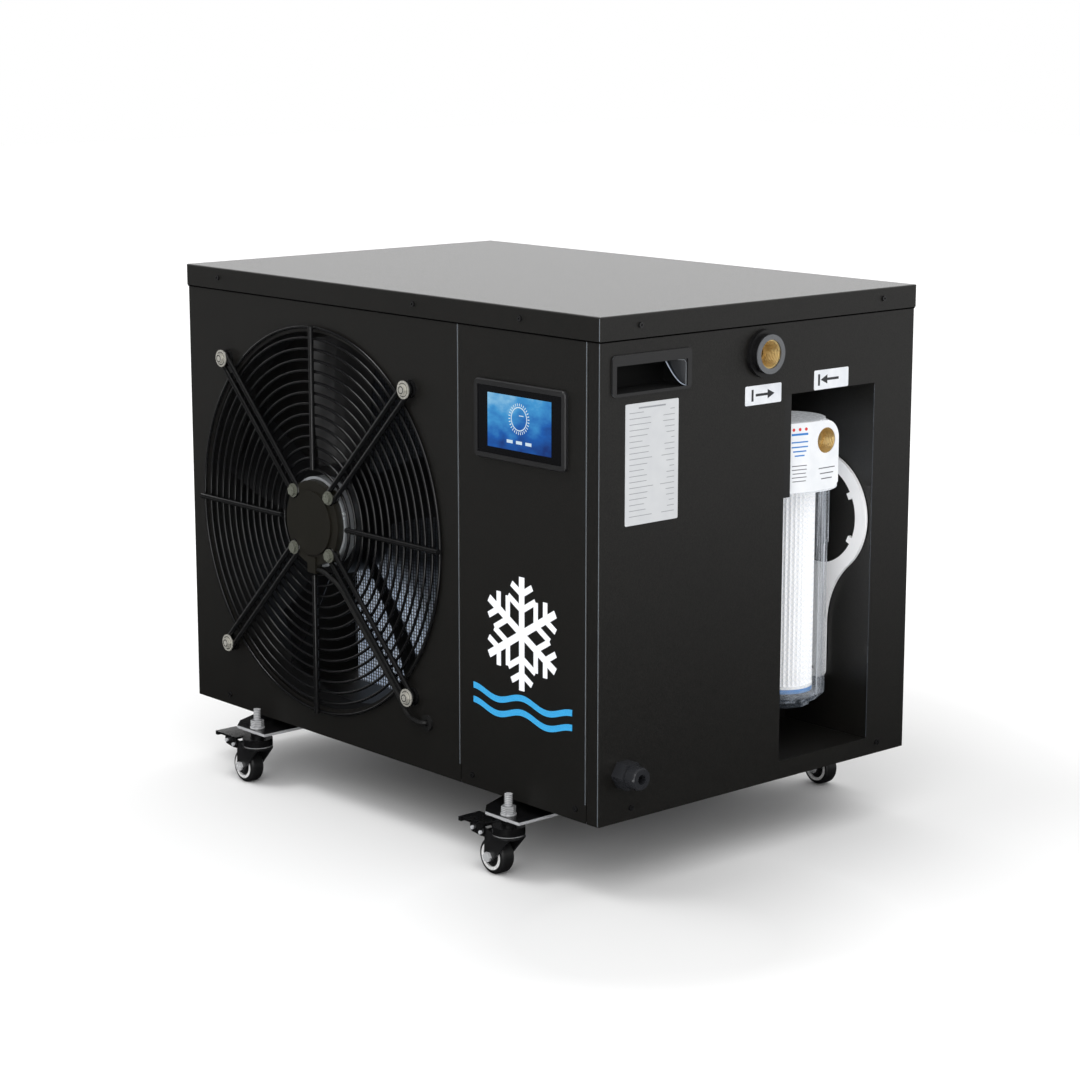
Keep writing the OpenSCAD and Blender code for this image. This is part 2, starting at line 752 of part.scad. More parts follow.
// Base pan: a tray inside the panels' lower edges
pan_w = body_w - 2*(sheet + fit);
pan_d = body_d - 2*(sheet + fit);
module base_pan() {
    placed() color(black_coat) difference() {
        up_slab(pan_lift, pan_rim) rrect(pan_w, pan_d, bend_r - sheet);
        up_slab(floor_z, pan_rim + over) rrect(pan_w - 2*sheet, pan_d - 2*sheet, (bend_r - sheet)/2);
        screw_holes();
    }
}

// Caster rails: one plate under each side, with two uprights that reach the pan
rail_front = 24;
rail_right = 28;
rail_mid = 40;
rail_left = 54;
rail_end = stud_y + rail_reach;
rail_step = 15;
rail_run = 49;
upright_y = body_d/2 - 2*flange;
module rail_plan() {
    polygon([[-rail_front, -rail_end], [rail_right, -rail_end], [rail_right, rail_end],
        [-rail_front, rail_end], [-rail_mid, rail_end - rail_step], [-rail_left, rail_end - rail_run],
        [-rail_left, -rail_end + rail_run], [-rail_mid, -rail_end + rail_step]]);
}
module caster_rail() {
    difference() {
        union() {
            up_slab(-rail_drop - rail_t, -rail_drop) rail_plan();
            up_slab(-rail_drop, pan_lift) {
                span(-rail_left, -upright_y, -rail_left + rail_t, upright_y);
                span(rail_right - rail_t, -upright_y, rail_right, upright_y);
            }
        }
        for (s = [-1, 1]) translate([0, s*stud_y, 0])
            z_rod(stud_r + screw_clear, -rail_drop - rail_t - over, -rail_drop + over);
    }
}
module caster_rails() {
    placed() color(zinc) for (x = [stud_left, stud_right]) translate([x, 0, 0]) caster_rail();
}

// Recess: a five-sided steel box behind the side panel's opening
recess_back = side_x - recess_depth;
filter_x = side_x - filter_in;
pad_r = wrench_grip/2 - 2;
pad_z = wrench_low + wrench_grip;
module recess_box() {
    placed() color(black_coat) {
        difference() {
            side_slab(recess_back, in_x)
                span(recess_y0 - sheet, recess_floor - sheet, recess_y1 + sheet, recess_top + sheet);
            side_slab(recess_back + sheet, in_x + over) span(recess_y0, recess_floor, recess_y1, recess_top);
            translate([0, inlet_y, inlet_z]) x_rod(boss_r + fit, recess_back - over, recess_back + sheet + over);
        }
        translate([side_x - wrench_in + wrench_right - wrench_grip/2, 0, pad_z]) y_rod(pad_r, recess_y1 - pad_t, recess_y1);
    }
}

// Inner wall between the fan's space and the water side
window = [50, 60];
pipe_y = -in_y - cond_t - 3*divider_gap - window[0];
module divider_wall() {
    placed() color(zinc) difference() {
        union() {
            side_slab(divider_x - sheet, divider_x)
                span(-pan_d/2 + divider_gap, floor_z, pan_d/2 - divider_gap, lid_under - divider_gap);
            up_slab(floor_z, floor_z + sheet)
                span(divider_x - flange, -pan_d/2 + divider_gap, divider_x, pan_d/2 - divider_gap);
        }
        side_slab(divider_x - flange - over, divider_x + over) {
            translate([pipe_y, pipe_top_z]) square(window, center = true);
            translate([pipe_y, pipe_low_z]) square([window[0], window[1]/2], center = true);
            translate([cable_in_y, cable_in_z]) circle(r = 2*cable_r);
        }
    }
}
pipe_top_z = cab_h - 70;
pipe_low_z = 80;

// Carry handles: a scooped cup behind a bezel, one on each side
module carry_handle() {
    bz = grip_z + grip_h/2;
    difference() {
        union() {
            side_slab(side_x, side_x + grip_t) translate([grip_cut_y, bz]) rrect(grip_w, grip_h, grip_r);
            side_slab(side_x - grip_depth, side_x) translate([grip_cut_y, grip_cut_z])
                square([grip_open_w + 2*grip_wall, grip_open_h + 2*grip_wall], center = true);
        }
        side_slab(side_x - grip_depth + grip_wall, side_x + grip_t + over) translate([grip_cut_y, grip_cut_z])
            square([grip_open_w, grip_open_h], center = true);
    }
}
module carry_handles() { placed() color(black_plastic) both_sides() carry_handle(); }

// Guard: rings on four straight rods, and four hairpin arms that carry the motor
module torus(r, wire) { y_turn() translate([r, 0]) circle(d = wire, $fn = 24); }
module fan_guard() {
    placed() color(black_coat) at_fan() {
        for (k = [0:ring_n - 1])
            translate([0, ring_y, 0]) torus(ring_in_r + (ring_out_r - ring_in_r)*k/(ring_n - 1), ring_wire);
        for (a = [0:90:270]) rotate([0, a, 0]) translate([0, rod_y, 0])
            z_rod(rod_wire/2, ring_in_r, ring_out_r + ring_wire/2);
    }
}
module at_guard_bolts() { for (i = [-1, 1], j = [-1, 1]) at_fan() translate([i*guard_bolt_half, 0, j*guard_bolt_half]) children(); }
module at_motor_bolts() { for (a = [45:90:315]) at_fan() rotate([0, a, 0]) translate([0, 0, motor_bolt_r]) children(); }
module hairpin() {
    for (s = [-1, 1]) translate([s*arm_half, 0, 0]) z_rod(arm_wire/2, motor_bolt_r, guard_bolt_r);
    translate([0, 0, guard_bolt_r]) rotate([90, 0, 0]) rotate_extrude(angle = 180)
        translate([arm_half, 0]) circle(d = arm_wire, $fn = 24);
    translate([0, 0, motor_bolt_r]) rotate([90, 180, 0]) rotate_extrude(angle = 180)
        translate([arm_half, 0]) circle(d = arm_wire, $fn = 24);
}
module guard_arms() {
    placed() color(black_coat) at_fan() for (a = [45:90:315]) rotate([0, a, 0]) translate([0, arm_y, 0]) hairpin();
}
bolt_front = arm_front - bolt_washer_t - bolt_head_h;
module bolt(washer_r, tail_y) {
    y_rod(washer_r, arm_front - bolt_washer_t, arm_front);
    translate([0, arm_front - bolt_washer_t, 0]) rotate([90, 0, 0]) linear_extrude(bolt_head_h) hexagon(bolt_flats);
    y_rod(bolt_r, arm_front - bolt_washer_t, tail_y);
}
module fan_bolts() {
    placed() color(zinc) {
        at_guard_bolts() {
            bolt(bolt_washer_r, in_y + nut_h);
            difference() {
                y_rod(bolt_washer_r, arm_back, face_y);
                y_rod(bolt_r + screw_clear, arm_back - over, face_y + over);
            }
            front_slab(in_y, in_y + nut_h - bolt_washer_t) difference() {
                hexagon(bolt_flats);
                circle(r = bolt_r + arm_slack);
            }
        }
        at_motor_bolts() bolt(motor_washer_r, rotor_y - fit);
    }
}

// Motor: the stator stands still on the arms, the rotor's shell turns round it
rotor_y = face_y - 3*fit;
flange_back = rotor_y - fit;
flange_y = flange_back - stator_flange;
lug_r = motor_washer_r + 1.5*fit;
core_len = rotor_len - 3*rotor_wall;
core_r = rotor_r - rotor_wall - over;
cable_lug = [14, 9];
module motor_stator() {
    placed() color([0.24, 0.23, 0.17]) difference() {
        union() {
            at_fan() {
                y_rod(stator_r, flange_y, flange_back);
                y_rod(stator_disc_r, flange_y - stator_disc_h, flange_y);
                y_rod(core_r, flange_back, flange_back + core_len);
                front_slab(flange_y - stator_disc_h, flange_back) translate([0, -stator_r])
                    square([cable_lug[0], 2*cable_lug[1]], center = true);
            }
            at_motor_bolts() y_rod(lug_r, arm_back, flange_back);
        }
        at_motor_bolts() {
            y_rod(lug_r + over, flange_y - stator_disc_h - over, arm_back);
            y_rod(bolt_r + arm_slack, arm_back - over, flange_back + over);
        }
        at_fan() y_rod(shaft_r + shaft_run, flange_back - stator_flange/2, flange_back + core_len + over);
    }
}
module fan_rotor() {
    placed() color(zinc) at_fan() {
        difference() {
            y_rod(rotor_r, rotor_y, rotor_y + rotor_len);
            y_rod(rotor_r - rotor_wall, rotor_y - over, rotor_y + rotor_len - rotor_wall);
        }
        y_rod(shaft_r, flange_back, rotor_y + rotor_len - rotor_wall);
    }
}

// Fan blades: bowed sheets that lean against the turn, on one hub ring
hub_y = face_y + 14;
blade_mid_y = hub_y + 0.65*hub_len;
blade_rows = 8;
blade_cols = 6;
blade_sink = 1.5;
chord_root_share = 0.29;
chord_tip_share = 0.42;
bow_share = 0.09;
lean_root = 34;
lean_tip = 24;
sweep_tip = -5;
function blade_point(u, v, t) = let (
        r = hub_r - blade_sink + (blade_tip_r - hub_r + blade_sink)*u,
        lean = lean_root + (lean_tip - lean_root)*u,
        chord = blade_tip_r*(chord_root_share + (chord_tip_share - chord_root_share)*pow(u, 1.2)),
        c = chord*(v - 0.5),
        bow = chord*bow_share*(1 - 4*(v - 0.5)*(v - 0.5)),
        a = sweep_tip*u*u + 180/PI*(c*cos(lean) + bow*sin(lean))/r)
    [r*cos(a), blade_mid_y - c*sin(lean) + bow*cos(lean) + t, r*sin(a)];
module blade() {
    m = blade_cols + 1;
    n = (blade_rows + 1)*m;
    pts = concat(
        [for (i = [0:blade_rows], j = [0:blade_cols]) blade_point(i/blade_rows, j/blade_cols, -blade_t/2)],
        [for (i = [0:blade_rows], j = [0:blade_cols]) blade_point(i/blade_rows, j/blade_cols, blade_t/2)]);
    front = [for (i = [0:blade_rows - 1], j = [0:blade_cols - 1]) [i*m + j, i*m + j + 1, (i + 1)*m + j + 1]];
    front2 = [for (i = [0:blade_rows - 1], j = [0:blade_cols - 1]) [i*m + j, (i + 1)*m + j + 1, (i + 1)*m + j]];
    back = [for (f = concat(front, front2)) [n + f[2], n + f[1], n + f[0]]];
    rim = concat([for (j = [0:blade_cols - 1]) [j, n + j, n + j + 1, j + 1]],
        [for (j = [0:blade_cols - 1]) let (b = blade_rows*m + j) [b + 1, n + b + 1, n + b, b]],
        [for (i = [0:blade_rows - 1]) let (b = i*m) [b + m, n + b + m, n + b, b]],
        [for (i = [0:blade_rows - 1]) let (b = i*m + blade_cols) [b, n + b, n + b + m, b + m]]);
    polyhedron(pts, concat(front, front2, back, rim));
}
module fan_blades() {
    placed() color(black_plastic) at_fan() {
        for (k = [0:blade_n - 1]) rotate([0, -blade_start - 360*k/blade_n, 0]) blade();
        difference() {
            y_rod(hub_r, hub_y, hub_y + hub_len);
            y_rod(rotor_r + arm_slack, hub_y - over, hub_y + hub_len + over);
        }
    }
}

// The motor's cable: from the lug, down beside the lower right arm, through the grommet
cable_y = arm_y;
cable_side = arm_half + arm_wire/2 + cable_r + 1.5;
function beside(s, off) = [fan_x + (s - off)/sqrt(2), cable_y, fan_z - (s + off)/sqrt(2)];
cable_points = [
    [fan_x + cable_lug[0]/2, cable_y, fan_z - 51],
    [fan_x + 14, cable_y, fan_z - 51.5],
    [fan_x + 26, cable_y, fan_z - 55],
    beside(80, cable_side), beside(120, cable_side), beside(160, cable_side), beside(200, cable_side),
    beside(226, cable_side + 1),
    [grommet_at[0] - 26, cable_y + 1, grommet_z + 4],
    [grommet_at[0] - 12, cable_y + 1, grommet_z],
    [grommet_at[0] - 2, face_y - 5, grommet_z],
    [grommet_at[0], face_y + 4, grommet_z],
    [grommet_at[0] + 3, face_y + 16, grommet_z + 1],
    [grommet_at[0] + 16, face_y + 32, grommet_z + 5],
    [divider_x - 16, cable_in_y - 10, cable_in_z - 3],
    [divider_x, cable_in_y, cable_in_z],
    [divider_x + 20, cable_in_y + 6, cable_in_z + 10],
    [divider_x + 32, cable_in_y + 6, cable_in_z + 60],
    [divider_x + 32, cable_in_y + 6, ebox_z - fit]];
module fan_cable() { placed() color(black_plastic) swept(cable_points, cable_r, 4, 8); }
module cable_grommet() {
    placed() color(black_plastic) translate(grommet_at) difference() {
        union() {
            y_rod(grommet_hole_r + 2*cable_r/2, face_y - cable_r, face_y);
            y_rod(grommet_hole_r - arm_slack, face_y, in_y);
            y_rod(grommet_hole_r + cable_r/2, in_y, in_y + cable_r/2);
        }
        y_rod(cable_r + 5*fit, face_y - cable_r - over, in_y + cable_r);
    }
}

// Screen: a bevelled bezel, the glass inside it and the module behind
window_w = bezel_w - 4*bezel_frame/1.2;
window_h = bezel_h - 4*bezel_frame/1.2;
module screen_bezel() {
    placed() color(black_plastic) translate([screen_x, 0, screen_z]) difference() {
        hull() {
            front_slab(face_y - bezel_t + bezel_bevel, face_y) rrect(bezel_w, bezel_h, bezel_r);
            front_slab(face_y - bezel_t, face_y) rrect(bezel_w - 2*bezel_bevel, bezel_h - 2*bezel_bevel, bezel_r - bezel_bevel);
        }
        front_slab(face_y - bezel_t - over, face_y + over)
            square([bezel_w - 2*bezel_frame, bezel_h - 2*bezel_frame], center = true);
    }
}
module touch_screen() {
    gw = bezel_w - 2*bezel_frame - 2*fit;
    gh = bezel_h - 2*bezel_frame - 2*fit;
    glass_y = face_y - bezel_t + glass_drop;
    placed() color([0.02, 0.02, 0.03]) translate([screen_x, 0, screen_z]) {
        front_slab(glass_y, glass_y + glass_t) square([gw, gh], center = true);
        front_slab(glass_y + glass_t, in_y + module_d) square([window_w - 2*fit, window_h - 2*fit], center = true);
    }
}

// Front sign: a plain snowflake over two waves, cut from film
wave_steps = 32;
function wave_z(x) = wave_swing*sin(720*x/wave_len + 90);
module wave() {
    polygon(concat(
        [for (k = [0:wave_steps]) let (x = wave_len*k/wave_steps) [x - wave_len/2, wave_z(x) - wave_line/2]],
        [for (k = [wave_steps:-1:0]) let (x = wave_len*k/wave_steps) [x - wave_len/2, wave_z(x) + wave_line/2]]));
}
branch_shares = [0.42, 0.7];
branch_len_shares = [0.34, 0.24];
module flake() {
    for (a = [0:60:300]) rotate(a + 30) {
        translate([0, -flake_bar/2]) square([flake_arm, flake_bar]);
        for (b = [0, 1], s = [-1, 1]) translate([flake_arm*branch_shares[b], 0]) rotate(s*60)
            translate([0, -flake_bar*0.4]) square([flake_arm*branch_len_shares[b] + flake_bar/2, flake_bar*0.8]);
    }
}
module front_sign() {
    placed() color(white_plastic) front_slab(face_y - film, face_y) translate([screen_x, sign_z]) {
        flake();
        for (k = [0, 1]) translate([0, -flake_arm - wave_pitch*(k + 1) + wave_line/2]) wave();
    }
}

// Outlet: a brass bulkhead fitting in a black flange and collar
module at_outlet() { translate([0, outlet_y, outlet_z]) children(); }
outlet_front = side_x + outlet_flange_t + outlet_collar_t;
fitting_len = 64;
barb_r = 11;
module outlet_fitting() {
    placed() color(brass) at_outlet() difference() {
        union() {
            x_rod(port_out_r, outlet_front - port_len - 3*sheet, outlet_front - port_sink);
            x_rod(barb_r, outlet_front - fitting_len, outlet_front - port_len);
            side_slab(in_x - nut_h, in_x) hexagon(3*nut_flats);
        }
        x_rod(port_r, outlet_front - port_len, outlet_front + over);
        x_rod(port_back_r, outlet_front - fitting_len - over, outlet_front);
    }
}
module outlet_nut() {
    placed() color(black_plastic) at_outlet() difference() {
        union() {
            x_rod(outlet_flange_r, side_x, side_x + outlet_flange_t);
            x_rod(outlet_collar_r, side_x + outlet_flange_t, outlet_front);
        }
        x_rod(port_out_r + arm_slack, side_x - over, outlet_front + over);
    }
}

// Cable gland: a hex base and a domed nut, with no cable in it
module at_gland() { translate([0, gland_y, gland_z]) children(); }
module gland_dome() {
    rotate([0, 90, 0]) rotate_extrude() difference() {
        union() {
            square([gland_nut_r, gland_nut_len*0.55]);
            intersection() {
                translate([0, gland_nut_len*0.45]) circle(r = gland_nut_r*1.1);
                square([gland_nut_r, gland_nut_len]);
            }
        }
        translate([0, -over]) square([gland_bore_r, gland_nut_len + 2*over]);
    }
}
module cable_gland() {
    placed() color(black_plastic) at_gland() {
        difference() {
            union() {
                side_slab(side_x, side_x + gland_base_t) hexagon(gland_flats);
                x_rod(gland_barrel_r, in_x - gland_base_t, side_x);
            }
            x_rod(gland_bore_r, in_x - gland_base_t - over, side_x + gland_base_t + over);
        }
        translate([side_x + gland_base_t + fit, 0, 0]) gland_dome();
        side_slab(in_x - nut_h, in_x) difference() {
            hexagon(gland_flats);
            circle(r = gland_barrel_r + arm_slack);
        }
    }
}

// Filter: head, brass inlet, bowl with its cartridge, bracket and label
module at_filter() { translate([filter_x, filter_y, 0]) children(); }
neck_r = bowl_r + bowl_wall/2;
head_wall = 4;
boss_out = 4;
port_front = side_x - label_t - 2*fit;
module filter_head() {
    placed() color(clear_grey) difference() {
        union() {
            at_filter() {
                z_rod(head_r, head_z, head_z + collar_h);
                z_rod(head_r - head_wall/2, head_z + collar_h, head_z + 2*collar_h);
                z_rod(dome_r, head_z + 2*collar_h, dome_z - head_wall);
                z_rod(dome_r - head_wall, dome_z - head_wall, dome_z);
            }
            translate([0, inlet_y, inlet_z]) x_rod(boss_r, recess_back - boss_out, filter_x);
        }
        at_filter() {
            z_rod(neck_r + thread_run, head_z - over, head_z + thread_len + head_wall);
            z_rod(cart_r + head_wall, head_z, cart_top + thread_run);
        }
        translate([0, inlet_y, inlet_z]) {
            x_rod(insert_r + arm_slack, filter_x + dome_r - seat, side_x);
            x_rod(port_back_r, recess_back - boss_out - over, side_x);
        }
    }
}
module filter_port() {
    placed() color(brass) translate([0, inlet_y, inlet_z]) difference() {
        x_rod(insert_r, filter_x + dome_r - seat, port_front);
        x_rod(port_r, port_front - insert_len, port_front + over);
        x_rod(port_back_r, filter_x, port_front);
    }
}
shoulder = 6;
module bowl_outline(grow) {
    polygon([[0, bowl_z + knob_h - grow], [bowl_r - shoulder + grow, bowl_z + knob_h - grow],
        [bowl_r + grow, bowl_z + knob_h + shoulder], [bowl_r + grow, head_z + thread_len], [0, head_z + thread_len]]);
}
rib_r = 2.6;
module filter_bowl() {
    placed() color(clear_grey) at_filter() difference() {
        union() {
            rotate_extrude() bowl_outline(0);
            z_rod(neck_r, head_z - shoulder, head_z + thread_len);
            up_slab(bowl_z, bowl_z + knob_h) circle(r = knob_r, $fn = 12);
            for (k = [0:rib_n - 1]) rotate([0, 0, 360*k/rib_n]) translate([bowl_r - rib_r/2, 0, 0])
                z_rod(rib_r, rib_z, head_z - fit - shoulder/2);
        }
        rotate_extrude() bowl_outline(-bowl_wall);
        z_rod(bowl_r - bowl_wall, head_z, head_z + thread_len + over);
        z_rod(knob_r - bowl_wall, bowl_z - over, bowl_z + knob_h - bowl_wall);
    }
    placed() color(clear_grey) at_filter() difference() {
        z_rod(cart_r - pleat_d, bowl_z + knob_h + bowl_wall, cart_z - thread_run);
        z_rod(cart_r/2, bowl_z, cart_z);
    }
}
cap_h = 8;
module filter_cartridge() {
    placed() at_filter() {
        color(white_plastic) difference() {
            up_slab(cart_z + cap_h, cart_top - cap_h) polygon([for (k = [0:2*pleat_n - 1])
                let (a = 180*k/pleat_n, r = cart_r - (k%2)*pleat_d) [r*cos(a), r*sin(a)]]);
            z_rod(cart_r/2, cart_z, cart_top);
        }
        color([0.1, 0.5, 0.85]) for (z = [cart_z, cart_top - cap_h]) difference() {
            z_rod(cart_r + fit, z, z + cap_h);
            z_rod(cart_r/2, z - over, z + cap_h + over);
        }
    }
}
bracket_x = side_x - label_t;
shelf_z = head_z + dome_h/2;
module filter_bracket() {
    placed() color(black_coat) {
        side_slab(bracket_x - bracket_t, bracket_x) span(recess_y0 + fit, bracket_z, recess_y0 + fit + bracket_w, recess_top - fit);
        front_slab(recess_y0 + fit, recess_y0 + fit + bracket_t)
            span(filter_x - dome_r/2, shelf_z, bracket_x - bracket_t, recess_top - fit);
        up_slab(shelf_z, shelf_z + bracket_t)
            difference() {
                span(filter_x - dome_r/2, recess_y0 + fit, filter_x + dome_r/2, filter_y);
                translate([filter_x, filter_y]) circle(r = dome_r + fit);
            }
    }
}
label_drop = (label_fold - label_y0)*tan(label_angle);
module label_front() {
    difference() {
        union() {
            span(label_fold, label_z0, label_y1 - label_round, label_z1);
            span(label_fold, label_z0 + shoulder, label_y1, label_z1 - label_round);
            translate([label_y1 - label_round, label_z1 - label_round]) circle(r = label_round);
            polygon([[label_fold, label_z0], [label_y1 - shoulder, label_z0], [label_y1, label_z0 + shoulder],
                [label_fold, label_z0 + shoulder]]);
        }
        translate([inlet_y, inlet_z]) circle(r = port_r);
    }
}
module filter_label() {
    placed() color(white_plastic) {
        side_slab(port_front, port_front + label_t) label_front();
        up_slab(label_z0, label_z1) polygon([[port_front, label_fold], [port_front + label_t, label_fold],
            [port_front + label_t - label_drop, label_y0], [port_front - label_drop, label_y0]]);
    }
}

// Wrench: a hooked ring on a flat handle, stored against the recess's far wall
wrench_y = recess_y1 - pad_t - fit - wrench_t;
tooth = [11, 7];
tooth_angles = [-27, 28];
web_at = [wrench_right + wrench_web_r, -sqrt(pow(wrench_out_r + wrench_web_r, 2) - pow(wrench_right + wrench_web_r, 2))];
web_touch = web_at*wrench_out_r/(wrench_out_r + wrench_web_r);
wrench_left = wrench_right - wrench_grip;
diamond = [wrench_grip/7, wrench_grip/2.8];
diamond_drop = 40;
module wrench_plan() {
    difference() {
        union() {
            intersection() {
                circle(r = wrench_out_r, $fn = 96);
                polygon([for (a = [-90:wrench_reach/8:wrench_reach]) 2*wrench_out_r*[cos(a), sin(a)], [0, 0],
                    [wrench_left, -wrench_out_r/4], [wrench_left, -2*wrench_out_r]]);
            }
            span(wrench_left, wrench_low - wrench_z + wrench_grip/4, wrench_right, -wrench_in_r);
            span(wrench_left + wrench_grip/4, wrench_low - wrench_z, wrench_right - wrench_grip/4, -wrench_in_r);
            for (x = [wrench_left + wrench_grip/4, wrench_right - wrench_grip/4])
                translate([x, wrench_low - wrench_z + wrench_grip/4]) circle(r = wrench_grip/4);
            difference() {
                polygon([[wrench_right - over, web_at[1]], [wrench_right, web_at[1]], web_touch, 0.95*web_touch,
                    [wrench_right - over, -wrench_in_r - over]]);
                translate(web_at) circle(r = wrench_web_r, $fn = 96);
            }
        }
        difference() {
            circle(r = wrench_in_r, $fn = 96);
            for (a = tooth_angles) rotate(a) translate([wrench_in_r, 0]) square(tooth, center = true);
        }
        translate([wrench_left + diamond[0] + over*3, -wrench_in_r - diamond_drop])
            polygon([[-diamond[0], 0], [0, -diamond[1]], [diamond[0], 0], [0, diamond[1]]]);
        translate([(wrench_left + wrench_right)/2, wrench_low - wrench_z + wrench_grip/4]) circle(r = wrench_grip/12);
    }
}
module filter_wrench() {
    placed() color(white_plastic) translate([side_x - wrench_in, 0, wrench_z])
        front_slab(wrench_y, wrench_y + wrench_t) wrench_plan();
}

// Casters: the stud and cup are fixed to the rail, the fork swivels on the stud's lower end
rail_low = -rail_drop - rail_t;
cup_top = rail_low - nut_h - washer_t;
cup_low = cup_top - cup_h;
race_t = 1.2;
fork_top = cup_low - race_t - 2*fit;
king_t = 2;
wheel_z = wheel_r - floor_h;
fork_in = wheel_w/2 + fork_gap;
fork_out = fork_in + fork_t;
module at_studs() { for (x = [stud_left, stud_right], s = [-1, 1]) translate([x, s*stud_y, 0]) children(); }
module nut(z, flats, h) {
    translate([0, 0, z]) linear_extrude(h) difference() {
        hexagon(flats);
        circle(r = stud_r + arm_slack);
    }
}
module washer(z, r, t) {
    up_slab(z, z + t) difference() {
        circle(r = r);
        circle(r = stud_r + arm_slack);
    }
}
module caster_studs() {
    placed() color(zinc) at_studs() {
        z_rod(stud_r, fork_top - fork_t - king_t, stud_top);
        difference() {
            z_rod(cup_r, cup_low, cup_top);
            z_rod(stud_r, cup_low - over, cup_top + over);
        }
        difference() {
            z_rod(cup_r - race_t, cup_low - race_t, cup_low);
            z_rod(stud_r, cup_low - race_t - over, cup_low + over);
        }
        z_rod(2*stud_r, fork_top - fork_t - fit - king_t, fork_top - fork_t - fit);
        nut(rail_low - nut_h, nut_flats, nut_h);
        washer(rail_low - nut_h - washer_t, washer_r, washer_t);
        washer(-rail_drop, washer_r, washer_t);
        washer(-rail_drop + washer_t, washer_r*0.8, washer_t);
        nut(-rail_drop + 2*washer_t, nut_flats, nut_h);
    }
}
// The fork: a top plate and two cheeks that narrow to the axle
fork_lead = 13;
fork_back = 24;
ear_x = 26.3;
ear_z = -31.7;
cheek_r = 7;
module cheek_plan(braked) {
    hull() {
        translate([-trail, wheel_z]) circle(r = cheek_r, $fn = 32);
        span(-fork_back, fork_top - fork_t, fork_lead, fork_top);
    }
    if (braked) hull() {
        translate([-ear_x, ear_z]) circle(r = 2*axle_r - fork_t/2, $fn = 32);
        span(-fork_back, fork_top - fork_t, -fork_back/2, fork_top);
    }
}
module fork(braked) {
    difference() {
        union() {
            for (s = [-1, 1]) front_slab(s > 0 ? fork_in : -fork_out, s > 0 ? fork_out : -fork_in) cheek_plan(braked);
            z_rod(cup_r, fork_top - fork_t, fork_top);
            up_slab(fork_top - fork_t, fork_top) span(-fork_back, -fork_out, fork_lead, fork_out);
        }
        z_rod(stud_r + run, fork_top - fork_t - over, fork_top + over);
        translate([-trail, 0, wheel_z]) y_rod(axle_r + run, -fork_out - over, fork_out + over);
        if (braked) translate([-ear_x, 0, ear_z]) y_rod(pin_r + run, -fork_out - over, fork_out + over);
    }
}
axle_head = 3.5;
axle_flats = 9;
module axle() {
    translate([-trail, 0, wheel_z]) {
        y_rod(axle_r, -fork_out - axle_head, fork_out + axle_head);
        for (s = [-1, 1]) front_slab(s > 0 ? fork_out : -fork_out - axle_head, s > 0 ? fork_out + axle_head : -fork_out)
            hexagon(axle_flats);
    }
}
module tyre() {
    translate([-trail, 0, wheel_z]) y_turn() difference() {
        union() {
            span(rim_r, -wheel_w/2, wheel_r - tyre_round, wheel_w/2);
            span(rim_r, -wheel_w/2 + tyre_round, wheel_r, wheel_w/2 - tyre_round);
            for (s = [-1, 1]) translate([wheel_r - tyre_round, s*(wheel_w/2 - tyre_round)]) circle(r = tyre_round);
        }
        translate([rim_r - tyre_round, -wheel_w]) square([tyre_round, 2*wheel_w]);
    }
}
ring_in_share = 0.78;
hub_drop = 2;
module rim() {
    translate([-trail, 0, wheel_z]) y_turn() difference() {
        span(0, -wheel_w/2, rim_r, wheel_w/2);
        span(0, -wheel_w, axle_r + run, wheel_w);
        for (s = [-1, 1]) translate([0, s*wheel_w/2]) square([2*rim_r*ring_in_share, 2*hub_drop], center = true);
    }
}
// The brake pedal: a tread over two ears, on a pin through the fork's ears
pin_r = 2;
pin_x = 39;
pin_z = -29.3;
tread_top = -23.3;
pedal_in = fork_out + 0.3;
pedal_out = pedal_in + pedal_t;
module pedal() {
    difference() {
        union() {
            up_slab(tread_top - pedal_t, tread_top) span(-ear_x - pedal_len, -pedal_out, -ear_x + cheek_r/2, pedal_out);
            up_slab(tread_top - 2*pedal_t, tread_top - pedal_t)
                span(-ear_x - pedal_len, -pedal_out, -ear_x - pedal_len + 2*pedal_t, pedal_out);
            for (s = [-1, 1]) front_slab(s > 0 ? pedal_in : -pedal_out, s > 0 ? pedal_out : -pedal_in) hull() {
                translate([-ear_x, ear_z]) circle(r = 2*pin_r, $fn = 32);
                translate([-pin_x, pin_z]) circle(r = 2.4*pin_r, $fn = 32);
                span(-pin_x - 2*pin_r, tread_top - pedal_t, -ear_x + cheek_r/2, tread_top);
            }
        }
    }
    translate([-ear_x, 0, ear_z]) y_rod(pin_r, -pedal_out - pedal_t, pedal_out + pedal_t);
    translate([-pin_x, 0, pin_z]) y_rod(pin_r, -pedal_out - pedal_t, pedal_out + pedal_t);
}
module at_caster(x, y) { placed() translate([x, y, 0]) children(); }

